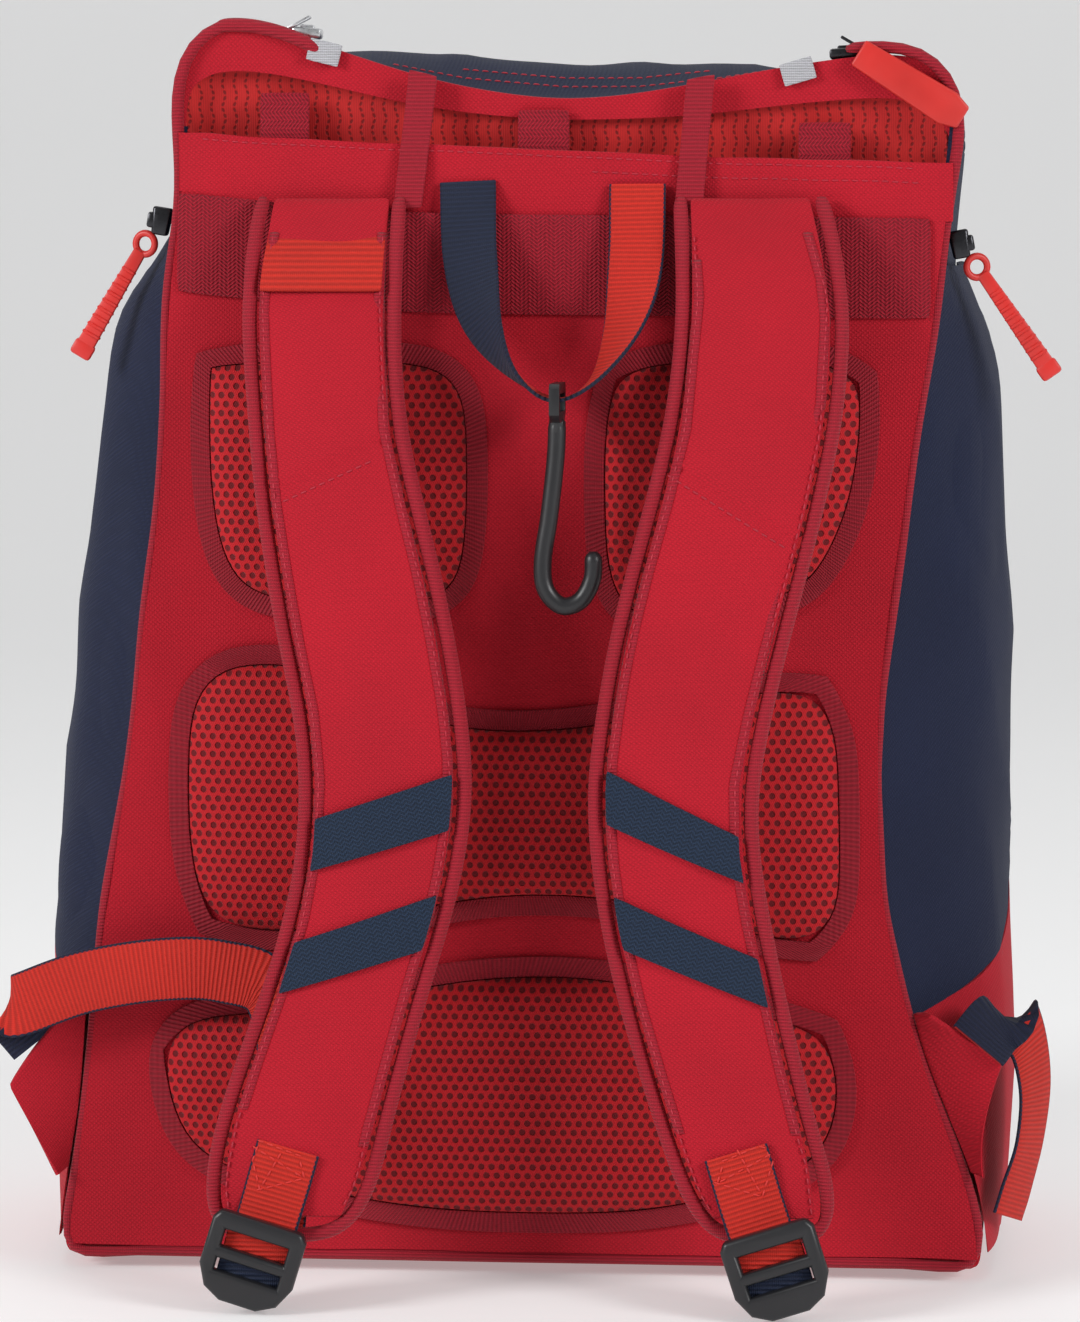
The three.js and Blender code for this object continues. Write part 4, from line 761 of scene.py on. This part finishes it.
class StageOperator(bpy.types.Operator):
    """Sets the pale floor, the soft studio lights and the camera."""
    bl_idname = "backpack.stage"
    bl_label = "Stage"

    def execute(self, context):
        deselect()
        bend_start, bend = 3.0, 2.0
        profile = [(-6.0, 0.0), (bend_start, 0.0)]
        profile += [(bend_start + bend * math.sin(a), bend - bend * math.cos(a))
                    for a in [math.radians(degrees) for degrees in range(6, 91, 6)]]
        profile += [(bend_start + bend, 7.0)]
        vertices = [(x, y, z) for y, z in profile for x in (-8.0, 8.0)]
        faces = [(2 * k, 2 * k + 1, 2 * k + 3, 2 * k + 2) for k in range(len(profile) - 1)]
        floor = new_piece("studio_floor", vertices, faces)
        smooth_below(floor, 30)
        look = Look("studio_floor", 0.9)
        at = look.place()
        grain = look.noise(at, 3.0, 2.0)
        floor.data.materials.append(look.finish(look.mix(grain, (0.7, 0.7, 0.7, 1), (0.72, 0.72, 0.72, 1))))
        look.shader.inputs["Emission Color"].default_value = (0.9, 0.9, 0.905, 1)
        look.shader.inputs["Emission Strength"].default_value = 0.33
        world = bpy.data.worlds.new("studio")
        context.scene.world = world
        world.use_nodes = True
        world.node_tree.nodes["Background"].inputs["Color"].default_value = (0.83, 0.83, 0.835, 1)
        world.node_tree.nodes["Background"].inputs["Strength"].default_value = 0.37
        nodes = world.node_tree.nodes
        links = world.node_tree.links
        seen = nodes.new("ShaderNodeBackground")
        seen.inputs["Color"].default_value = (0.84, 0.84, 0.845, 1)
        seen.inputs["Strength"].default_value = 1.0
        path = nodes.new("ShaderNodeLightPath")
        chosen = nodes.new("ShaderNodeMixShader")
        links.new(path.outputs["Is Camera Ray"], chosen.inputs[0])
        links.new(nodes["Background"].outputs[0], chosen.inputs[1])
        links.new(seen.outputs[0], chosen.inputs[2])
        links.new(chosen.outputs[0], nodes["World Output"].inputs["Surface"])
        lights = rows_of("at size power", ((-2.1, -1.7, 1.3), 0.9, 47.0), ((2.1, -1.7, 1.3), 0.9, 39.0),
                         ((0.0, 0.4, 2.6), 1.8, 10.0))
        for i, row in enumerate(lights):
            deselect()
            bpy.ops.object.light_add(type="AREA", location=row["at"])
            light = context.object
            light.name = "soft_box_%d" % i
            light.data.size = row["size"]
            light.data.energy = row["power"]
            aim = Vector((0.0, 0.0, 0.25)) - Vector(row["at"])
            light.rotation_euler = aim.to_track_quat("-Z", "Y").to_euler()
        turn = math.radians(5.0)
        rise = math.radians(5.0)
        distance = 2.0
        target = Vector((0.004, -0.105, 0.2466))
        ahead = Vector((-math.sin(turn) * math.cos(rise), math.cos(turn) * math.cos(rise), -math.sin(rise)))
        deselect()
        bpy.ops.object.camera_add(location=target - ahead * distance)
        camera = context.object
        camera.rotation_euler = ahead.to_track_quat("-Z", "Y").to_euler()
        camera.data.sensor_width = 36.0
        camera.data.lens = 137.9
        context.scene.camera = camera
        context.scene.view_settings.view_transform = "Standard"
        return {"FINISHED"}


# How deep each panel's folds go, in millimetres.
fold_depths = {
    "sleeve_band": 1.1, "side_left": 1.5, "side_right": 1.5, "sleeve_left": 2.2, "sleeve_right": 2.2,
    "wing_left": 1.6, "wing_right": 1.6, "sleeve_lining": 0.9, "front_upper": 2.4, "front_lower": 2.0,
    "lid": 1.6, "back_panel": 0.8, "sleeve_foot_left": 1.0, "sleeve_foot_right": 1.0,
}


def soft_folds(node, places, outward):
    """Long shallow folds and drags in the cloth."""
    deep = fold_depths.get(node, 0.0) * MM
    if not deep:
        return places
    for i, (x, y, z) in enumerate(places):
        long_fold = noise.noise(Vector((x * 16 + z * 7, y * 16, z * 5 - x * 4)) + Vector((3.1, 0.4, 1.7)))
        drag = noise.noise(Vector((x * 38 - z * 20, y * 30, z * 14 + x * 9)))
        crest = 1.0 - abs(long_fold) * 2.4
        places[i] = np.array((x, y, z)) + outward[i] * deep * (0.75 * crest * crest + 0.45 * drag - 0.4)
    return places


def meet_piping(node, places):
    """Carries a panel's seam allowance out to the piping, which covers it."""
    x, y, z = places[:, 0], places[:, 1], places[:, 2]
    mouth = 0.012  # x of the middle of the back pocket's mouth
    hem = 0.012  # height of the edge that is carried
    if node in ("back_panel", "sleeve_band"):
        middle = (x.min() + x.max()) / 2
        places[:, 0] = middle + (x - middle) * (1.02 if node == "back_panel" else 1.03)
        if node == "back_panel":
            places[:, 2] = z - ramp(z, 0.022, 0.002) * 3.0 * MM
        else:
            places[:, 2] = z - ramp(z, 0.433, 0.423) * 2.2 * MM
    elif node == "top_band":
        reach = ramp(np.abs(x - mouth), 0.11, 0.15)
        places[:, 0] = x + np.sign(x - mouth) * reach * 3.4 * MM
        upper = ramp(z, 0.486, 0.492)
        places[:, 2] = z + reach * 0.6 * MM + np.where(x < 0, upper * 1.8 * MM, 0.0)
    elif node == "sleeve_lining":
        rise = ramp(z, 0.445, 0.465)
        reach = ramp(np.abs(x - mouth), 0.1, 0.13)
        places[:, 0] = x + np.sign(x - mouth) * reach * 5.5 * MM * (0.3 + 0.7 * rise)
        places[:, 2] = z + rise * (2.5 + 7.5 * reach) * MM
    elif node in ("sleeve_left", "sleeve_right"):
        rim = ramp(y, -0.07, -0.097) ** 2
        places[:, 1] = y - rim * 4.6 * MM
        places[:, 0] = x - np.sign(x) * rim * 4.2 * MM
        places[:, 2] = z - ramp(z, z.min() + 0.014, z.min()) * 3.0 * MM
    elif node in ("front_upper", "front_lower"):
        middle = (x.min() + x.max()) / 2
        places[:, 0] = middle + (x - middle) * 1.016
        if node == "front_upper":
            places[:, 2] = z + ramp(z, z.max() - hem, z.max()) * 2.5 * MM
    elif node == "lid":
        places[:, 2] = z - ramp(z, z.min() + hem, z.min()) * 2.5 * MM
    elif node in ("sleeve_foot_left", "sleeve_foot_right"):
        places[:, 2] = z + ramp(z, z.max() - 0.014, z.max()) * 2.5 * MM
    elif node in ("side_left", "side_right"):
        rim = ramp(y, -0.085, -0.097)
        corner = (ramp(z, 0.04, 0.0) * ramp(y, -0.055, -0.095)) ** 1.5
        places[:, 1] = y - rim * 3.0 * MM
        places[:, 0] = x - np.sign(x) * (rim * 2.2 + corner * 6.5) * MM
    return places


class PanelsOperator(bpy.types.Operator):
    """Makes the sewn cloth panels of the body with their soft hollows and swells."""
    bl_idname = "backpack.panels"
    bl_label = "Cloth panels"

    def execute(self, context):
        for row in panels:
            piece = copy_of(row["node"], row["name"])
            crease(piece, 48, 0.55 if row["node"].startswith("wing") else 1.0)
            subdivide(piece, row["levels"])
            places = meet_piping(row["node"], points_of(piece))
            move_points(piece, slouch(soft_folds(row["node"], places, normals_of(piece))))
            dress(piece, made[row["finish"]], nodes=(row["node"],))
            smooth_below(piece, 50)
            made[row["name"]] = piece
        return {"FINISHED"}


class PipingOperator(bpy.types.Operator):
    """Makes the round piping on the seams of the back."""
    bl_idname = "backpack.piping"
    bl_label = "Piping"

    def execute(self, context):
        piece = copy_of("piping", "seam_piping")
        subdivide(piece, 1)
        places = points_of(piece) + normals_of(piece) * 0.7 * MM
        places[:, 2] = np.maximum(places[:, 2], 2.0 * MM)
        move_points(piece, slouch(places))
        dress(piece, made["binding"], nodes=("piping",))
        run = [(-0.124, -0.103, 0.4962), (-0.1153, -0.103, 0.4966), (-0.107, -0.1032, 0.4956),
               (-0.098, -0.1034, 0.4932), (-0.09, -0.1036, 0.49), (-0.083, -0.103, 0.486)]
        tail = tube("seam_piping_end", run, 2.7 * MM, 12, 30)
        move_points(tail, slouch(points_of(tail)))
        dress(tail, made["binding"], nodes=("piping",))
        return {"FINISHED"}


class PadsOperator(bpy.types.Operator):
    """Makes the crowned mesh pads of the back."""
    bl_idname = "backpack.pads"
    bl_label = "Back pads"

    def execute(self, context):
        for node in pads:
            piece = copy_of(node, node.replace("pad_", "cushion_"))
            crease(piece, 80, 0.6)
            subdivide(piece, 2)
            places = points_of(piece)
            low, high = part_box(node)
            crown = ramp(places[:, 1], high.y, low.y)
            places[:, 1] -= crown ** 2 * 1.6 * MM
            move_points(piece, slouch(places))
            dress(piece, made["spacer"], nodes=(node,))
        return {"FINISHED"}


def ring_map(piece):
    """Lays a map round a ring of tape, in metres, so that its ribs point in to the pad."""
    places = points_of(piece)
    low, high = places.min(0), places.max(0)
    middle = (low + high) / 2
    half = (high - low) / 2
    a = (places[:, 0] - middle[0]) / half[0]
    b = (places[:, 2] - middle[2]) / half[2]
    reach = np.maximum(np.maximum(np.abs(a), np.abs(b)), 1e-6)
    a, b = a / reach * half[0], b / reach * half[2]
    wide, tall = half[0], half[2]
    top = b >= tall * 0.9999
    right = a >= wide * 0.9999
    low_side = b <= -tall * 0.9999
    run = np.where(top, a + wide, np.where(right, 2 * wide + tall - b, np.where(
        low_side, 2 * wide + 2 * tall + wide - a, 4 * wide + 2 * tall + b + tall)))
    whole = 4 * wide + 4 * tall
    weave = piece.data.uv_layers.new(name="weave")
    for polygon in piece.data.polygons:
        runs = [run[i] for i in polygon.vertices]
        wrap = max(runs) - min(runs) > whole / 2
        for loop, vertex in zip(polygon.loop_indices, polygon.vertices):
            along = run[vertex] + (whole if wrap and run[vertex] < whole / 2 else 0.0)
            weave.data[loop].uv = (reach[vertex] * 0.05, along)


class TapesOperator(bpy.types.Operator):
    """Makes the flat tapes, pad rims and stripes that are sewn down."""
    bl_idname = "backpack.tapes"
    bl_label = "Sewn tapes"

    def execute(self, context):
        for row in tapes:
            piece = copy_of(row["node"], row["name"])
            crease(piece, 48, 0.85)
            subdivide(piece, 2)
            move_points(piece, slouch(points_of(piece)))
            if row["finish"] == "rim":
                ring_map(piece)
            dress(piece, made[row["finish"]], nodes=(row["node"],))
            smooth_below(piece, 50)
            made[row["name"]] = piece
        return {"FINISHED"}


def lip_mesh(name, strap, table, sign):
    """The flat inner fold of the strap binding: a thin strip on the strap, just inside the roll."""
    tree = tree_of(strap)
    vertices = []
    faces = []
    for key, way in (("outer", 1), ("inner", -1)):
        first = len(vertices)
        rows = []
        for k in range(110):
            z = 83.0 - k * (83.0 - 8.6) / 109
            edge = column(table, z, key) / 100 * half_back
            found = [front_of(tree, edge + sign * way * inset * MM, z / 100 * bag_height)
                     for inset in (7.8, 9.6, 11.4)]
            if all(at is not None for at, normal in found):
                rows.append(found)
        if len(rows) < 2:
            raise RuntimeError("the strap isn't where its table says: " + name)
        for found in rows:
            for lift, order in ((0.75, (0, 1, 2)), (-0.2, (2, 1, 0))):
                for i in order:
                    at, normal = found[i]
                    vertices.append(at + normal * (lift if i == 1 or lift < 0 else lift * 0.5) * MM)
        faces += ring_faces(first, len(rows), 6)
    piece = new_piece(name, [tuple(v) for v in vertices], faces)
    work = bmesh.new()
    work.from_mesh(piece.data)
    bmesh.ops.recalc_face_normals(work, faces=work.faces)
    work.to_mesh(piece.data)
    work.free()
    return piece


class StrapsOperator(bpy.types.Operator):
    """Makes the padded straps, their sewn joins and the rolled binding round them."""
    bl_idname = "backpack.straps"
    bl_label = "Padded straps"

    def execute(self, context):
        top_rise = 9.0 * MM
        for side in ("left", "right"):
            piece = copy_of("strap_" + side, "padded_strap_" + side)
            crease(piece, 48, 0.7)
            subdivide(piece, 3)
            places = points_of(piece)
            (xa, za), (xb, zb) = strap_joins[side]
            tilt = math.atan2(zb - za, xb - xa)
            apart = (places[:, 2] - za * MM) * math.cos(tilt) - (places[:, 0] - xa * MM) * math.sin(tilt)
            outward = normals_of(piece)[:, 1] < -0.2
            groove = np.exp(-(apart / (1.5 * MM)) ** 2)
            groove -= 0.6 * np.exp(-((apart - 3.5 * MM) / (2.6 * MM)) ** 2)
            places[:, 1] += np.where(outward, groove * 0.9 * MM, 0.0)
            places[:, 2] += top_rise * ramp(places[:, 2], 0.392, 0.42)
            places = slouch(places)
            for i, (x, y, z) in enumerate(places):
                soft = noise.noise(Vector((x * 30.0, 1.7 if side == "left" else 6.3, z * 22.0)))
                places[i, 1] += soft * 1.0 * MM if outward[i] else 0.0
            move_points(piece, places)
            dress(piece, made["red"], nodes=("strap_" + side,))
            smooth_below(piece, 60)
            made["strap_" + side] = piece
            edge = copy_of("strap_edge_" + side, "strap_binding_" + side)
            subdivide(edge, 2)
            places = points_of(edge)
            places[:, 2] += top_rise * ramp(places[:, 2], 0.392, 0.42)
            move_points(edge, slouch(places))
            dress(edge, made["binding"], nodes=("strap_edge_" + side,))
            made["binding_" + side] = edge
            lip = lip_mesh("binding_lip_" + side, piece, strap_tables[side], 1 if side == "left" else -1)
            dress(lip, made["binding_flat"], nodes=("strap_edge_" + side,))
        return {"FINISHED"}


def tape_mesh(name, rows, wide, thick, steps):
    """A woven tape along a smooth curve, with a map across and along it in metres and its reverse marked."""
    centre = on_curve([(row["x"] / 100 * half_back, back_plane - row["out"] * MM, row["z"] / 100 * bag_height)
                       for row in rows], steps)
    across = on_curve([row["side"] for row in rows], steps)
    along = np.gradient(centre, axis=0)
    along /= np.linalg.norm(along, axis=1)[:, None]
    across -= along * np.sum(along * across, axis=1)[:, None]
    across /= np.linalg.norm(across, axis=1)[:, None]
    out = np.cross(along, across)
    run = np.concatenate([[0], np.cumsum(np.linalg.norm(np.diff(centre, axis=0), axis=1))])
    section = [(-0.5, 0.22), (-0.47, 0.5), (-0.16, 0.54), (0.16, 0.54), (0.47, 0.5), (0.5, 0.22),
               (0.5, -0.22), (0.47, -0.5), (0.16, -0.54), (-0.16, -0.54), (-0.47, -0.5), (-0.5, -0.22)]
    count = len(section)
    vertices = [centre[k] + across[k] * a * wide + out[k] * b * thick
                for k in range(steps) for a, b in section]
    piece = new_piece(name, vertices, ring_faces(0, steps, count))
    mesh = piece.data
    weave = mesh.uv_layers.new(name="weave")
    reverse = mesh.attributes.new("reverse", "FLOAT", "POINT")
    edge = mesh.attributes.new("across", "FLOAT", "POINT")
    for loop in mesh.loops:
        k, i = divmod(loop.vertex_index, count)
        weave.data[loop.index].uv = (section[i][0] * wide + 0.05, run[k])
    for vertex in mesh.vertices:
        reverse.data[vertex.index].value = 1.0 if section[vertex.index % count][1] < 0 else 0.0
        edge.data[vertex.index].value = abs(section[vertex.index % count][0]) * 2
    face_out(piece)
    return piece


class BandsOperator(bpy.types.Operator):
    """Makes the hanging loop, the adjusting tapes and the ends of the straps."""
    bl_idname = "backpack.bands"
    bl_label = "Free tapes"

    def execute(self, context):
        thick = context.scene.backpack_sizes.tape
        for row in bands:
            rows = band_rows[row["node"]]
            piece = tape_mesh(row["name"], rows, row["wide"] * MM, thick, len(rows) * 7)
            dress(piece, made[row["finish"]], nodes=(row["node"],))
            smooth_below(piece, 50)
            made[row["name"]] = piece
        return {"FINISHED"}


def shaped_block(name, size, at, turn=0.0, lean=0.0, bevel=0.6 * MM, segments=2, taper=1.0):
    """A block with rounded edges, narrower at its far end where asked, turned in place."""
    deselect()
    bpy.ops.mesh.primitive_cube_add(size=1.0, location=(0, 0, 0))
    piece = bpy.context.object
    piece.name = name
    piece.scale = size
    bpy.ops.object.transform_apply(location=False, rotation=False, scale=True)
    places = points_of(piece)
    places[:, 0] *= np.where(places[:, 2] < 0, taper, 1.0)
    move_points(piece, places)
    round_edges(piece, bevel, segments)
    piece.rotation_euler = (math.radians(lean), math.radians(turn), 0.0)
    piece.location = at
    bpy.ops.object.transform_apply(location=True, rotation=True, scale=True)
    return piece


def join(pieces, name):
    """Makes one named piece of several."""
    deselect()
    for piece in pieces:
        piece.select_set(True)
    bpy.context.view_layer.objects.active = pieces[0]
    bpy.ops.object.join()
    pieces[0].name = name
    return pieces[0]


def centre_of(node):
    """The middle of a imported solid's box."""
    low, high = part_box(node)
    return (low + high) / 2


class HardwareOperator(bpy.types.Operator):
    """Makes the zip sliders, the grey ribbons and the pulls."""
    bl_idname = "backpack.hardware"
    bl_label = "Zip hardware"

    def execute(self, context):
        for side, look in (("left", "silver"), ("right", "dark_metal")):
            node = "slider_top_" + side
            at = centre_of(node)
            tilt = 4 if side == "left" else -3
            body = shaped_block("a", (0.0118, 0.0088, 0.0042), at - Vector((0, 0, 0.0006)), tilt,
                                bevel=1.2 * MM)
            crown = shaped_block("b", (0.0058, 0.0026, 0.003), at + Vector((0.0, 0, 0.0012)), tilt,
                                 bevel=0.8 * MM)
            tongue = shaped_block("c", (0.0125, 0.0052, 0.0012),
                                  at + Vector((-0.004 if side == "left" else 0.004, -0.002, 0.0028)),
                                  -28 if side == "left" else 30, bevel=0.4 * MM)
            piece = join([body, crown, tongue], "top_slider_" + side)
            dress(piece, made[look], nodes=(node,), angle=40)
            ribbon = "pull_ribbon_" + side
            at = centre_of(ribbon)
            turn = 14 if side == "left" else -16
            strip = shaped_block("grey_ribbon_" + side, (0.013, 0.0015, 0.0088), at, turn, bevel=0.5 * MM)
            pick(strip)
            subdivide(strip, 1)
            dress(strip, made["grey"], nodes=(ribbon,), angle=50)
        for side in ("left", "right"):
            sign = -1 if side == "left" else 1
            node = "slider_side_" + side
            at = centre_of(node)
            tilt = (31 if side == "left" else -35) * 0.3
            body = shaped_block("a", (0.0082, 0.0052, 0.0112), at - Vector((sign * 0.0012, 0, 0.0006)), tilt,
                                bevel=1.2 * MM, segments=3, taper=0.8)
            bridge = shaped_block("b", (0.0032, 0.0052, 0.0062), at + Vector((sign * 0.0028, 0, 0)), tilt,
                                  bevel=1.0 * MM)
            piece = join([body, bridge], "side_slider_" + side)
            dress(piece, made["dark_metal"], nodes=(node,), angle=45)
            node = "pull_side_" + side
            low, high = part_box(node)
            turn = 31 if side == "left" else -35
            top = Vector((high.x - 0.004 if side == "left" else low.x + 0.004, (low.y + high.y) / 2,
                          high.z - 0.0035))
            way = Vector((-math.sin(math.radians(turn)), 0, -math.cos(math.radians(turn))))
            parts = [shaped_block("a", (0.0052, 0.003, 0.0475), top + way * 0.0275, turn, bevel=0.9 * MM,
                                  taper=1.45)]
            for k in range(9):
                at = top + way * (0.013 + k * 0.0037)
                size = (0.0058 + k * 0.00022, 0.0042, 0.0016)
                parts.append(shaped_block("r", size, at, turn, bevel=0.5 * MM, segments=1))
            size = (0.0088, 0.0036, 0.0065)
            parts.append(shaped_block("t", size, top + way * 0.0495, turn, bevel=1.3 * MM))
            deselect()
            bpy.ops.mesh.primitive_torus_add(major_radius=0.0042, minor_radius=0.0014, major_segments=28,
                                             minor_segments=10, location=top + Vector((0, 0, -0.0005)),
                                             rotation=(math.radians(90), 0, math.radians(18 * sign)))
            ring = context.object
            bpy.ops.object.transform_apply(location=True, rotation=True, scale=True)
            piece = join(parts + [ring], "side_pull_" + side)
            dress(piece, made["rubber"], nodes=(node,), angle=40)
        node = "pull_top_right"
        piece = copy_of(node, "flat_pull")
        join_flat_faces(piece, 2)
        round_edges(piece, 0.9 * MM, 3)
        dress(piece, made["rubber"], nodes=(node,), angle=40)
        return {"FINISHED"}


class BucklesOperator(bpy.types.Operator):
    """Makes the ladder-lock buckles at the ends of the straps."""
    bl_idname = "backpack.buckles"
    bl_label = "Ladder-lock buckles"

    def execute(self, context):
        for side in ("left", "right"):
            node = "buckle_" + side
            piece = copy_of(node, "ladder_lock_" + side)
            join_flat_faces(piece, 3)
            round_edges(piece, 1.1 * MM, 3, 40)
            places = points_of(piece) + normals_of(piece) * 0.75 * MM
            places[:, 2] = np.maximum(places[:, 2], 0.6 * MM)
            move_points(piece, places)
            dress(piece, made["black"], nodes=(node,), angle=35)
            middle = centre_of(node)
            turn = 16.0 if side == "left" else -17.5
            lean = math.radians(turn)
            folds = (("fold_red_", 5.6, 8.4, "ribbon_fill"), ("fold_navy_", -5.6, 6.4, "navy_ribs"))
            for name, drop, tall, look in folds:
                at = middle + Vector((math.sin(lean) * drop * MM, 0.0022, math.cos(lean) * drop * MM))
                strip = shaped_block(name + side, (0.0256, 0.0022, tall * MM), at, turn, bevel=0.7 * MM)
                dress(strip, made[look], nodes=("end_tab_" + side,), angle=50)
        return {"FINISHED"}


# The hook's rod below its head: x and z in millimetres from the head's middle.
hook_curve = [(0, -6), (-0.6, -22), (-3.0, -44), (-5.6, -62), (-4.6, -73), (1.5, -79.5), (9.0, -77.5),
              (13.6, -69), (14.0, -58.5)]


class HookOperator(bpy.types.Operator):
    """Makes the fence hook: a slotted head on the loop and a round-ended J below it."""
    bl_idname = "backpack.hook"
    bl_label = "Fence hook"

    def execute(self, context):
        middle = Vector((0.075 * half_back, -0.143, 0.351))
        head = copy_of("fence_hook", "hook_head")
        pick(head)
        bpy.ops.object.mode_set(mode="EDIT")
        bpy.ops.mesh.select_all(action="SELECT")
        bpy.ops.mesh.bisect(plane_co=(0, 0, middle.z - 0.0125), plane_no=(0, 0, -1), clear_outer=True,
                            use_fill=True)
        bpy.ops.mesh.select_all(action="SELECT")
        bpy.ops.mesh.normals_make_consistent(inside=False)
        bpy.ops.mesh.dissolve_limited(angle_limit=math.radians(2))
        bpy.ops.object.mode_set(mode="OBJECT")
        round_edges(head, 0.8 * MM, 2, 35)
        dress(head, made["black"], "fence_hook", angle=40)
        rod = tube("hook_rod", [(middle.x + x * MM, middle.y, middle.z + z * MM) for x, z in hook_curve],
                   3.5 * MM, 16, 72, 0.9)
        dress(rod, made["black"], "fence_hook", nodes=("fence_hook",))
        return {"FINISHED"}


class StitchingOperator(bpy.types.Operator):
    """Sews the visible rows of thread: hems, tapes, strap joins and bindings."""
    bl_idname = "backpack.stitching"
    bl_label = "Stitching"

    def execute(self, context):
        band = tree_of(made["pocket_hem"])
        cloth = points_of(made["pocket_hem"])
        hem = []
        for x in range(-128, 154, 14):
            near = cloth[np.abs(cloth[:, 0] - x * MM) < 5 * MM]
            if len(near):
                hem.append((x, near[:, 2].max() / MM - 2.6))
        rows = [run_on(band, hem), run_on(band, [(x, z - 5.5) for x, z in hem if x > 20])]
        stitches("hem_thread", [r for r in rows if len(r) > 2], made["thread"])
        lid = tree_of(made["lid_cloth"])
        seam = [(-58, 482), (-30, 476.5), (10, 473), (40, 473), (70, 476), (94, 480)]
        rows = [run_on(lid, seam), run_on(lid, [(x, z + 3.6) for x, z in seam[1:-1]])]
        stitches("lid_thread", [r for r in rows if len(r) > 2], made["thread"])
        edges = []
        for side in ("left", "right"):
            tree = tree_of(made["strap_" + side])
            table = strap_tables[side]
            sign = 1 if side == "left" else -1
            for key, way in (("outer", 1), ("inner", -1)):
                path = []
                for k in range(60):
                    z = 82.5 - k * (82.5 - 8.0) / 59
                    x = column(table, z, key) / 100 * half_back + sign * way * 9.3 * MM
                    at, normal = front_of(tree, x, z / 100 * bag_height)
                    if at is not None:
                        path.append((at + normal * 0.7 * MM, normal))
                edges.append(path)
        stitches("binding_thread", edges, made["thread"])
        joins = []
        for side, ((xa, za), (xb, zb)) in strap_joins.items():
            tree = tree_of(made["strap_" + side])
            joins.append(run_on(tree, [(xa, za - 5.5), (xb, zb - 5.5)], parts=20))
        stitches("join_thread", joins, made["thread"])
        crosses = []
        for side, x, z, turn in (("left", -92.2, 58.0, 15.0), ("right", 89.5, 58.5, -16.0)):
            tree = tree_of(made["strap_end_" + side])
            square = [(-9, -9), (9, -9), (9, 9), (-9, 9), (-9, -9), (9, 9)], [(-9, 9), (9, -9)]
            for line in square:
                c, s = math.cos(math.radians(turn)), math.sin(math.radians(turn))
                spun = [(x + a * c + b * s * -1, z + a * s + b * c) for a, b in line]
                crosses.append(run_on(tree, spun, parts=8))
        stitches("box_thread", [r for r in crosses if len(r) > 2], made["thread_orange"])
        return {"FINISHED"}


class BackpackPanel(bpy.types.Panel):
    """Lists what builds the bag."""
    bl_idname = "VIEW3D_PT_backpack"
    bl_label = "Backpack"
    bl_space_type = "VIEW_3D"
    bl_region_type = "UI"
    bl_category = "Backpack"

    def draw(self, context):
        for group in (context.scene.backpack_colours, context.scene.backpack_sizes):
            for name in group.bl_rna.properties.keys():
                if name not in ("rna_type", "name"):
                    self.layout.prop(group, name)
        for operator in build_order:
            self.layout.operator(operator.bl_idname)


build_order = (StageOperator, PanelsOperator, PipingOperator, PadsOperator, TapesOperator, StrapsOperator,
               BandsOperator, BucklesOperator, HookOperator, HardwareOperator, StitchingOperator)
classes = (BackpackColours, BackpackSizes, *build_order, BackpackPanel)


def register():
    for item in classes:
        bpy.utils.register_class(item)
    bpy.types.Scene.backpack_colours = bpy.props.PointerProperty(type=BackpackColours)
    bpy.types.Scene.backpack_sizes = bpy.props.PointerProperty(type=BackpackSizes)


def unregister():
    del bpy.types.Scene.backpack_sizes
    del bpy.types.Scene.backpack_colours
    for item in reversed(classes):
        bpy.utils.unregister_class(item)


def main():
    register()
    make_looks()
    for operator in build_order:
        area, name = operator.bl_idname.split(".")
        getattr(getattr(bpy.ops, area), name)()


if __name__ == "__main__":
    main()
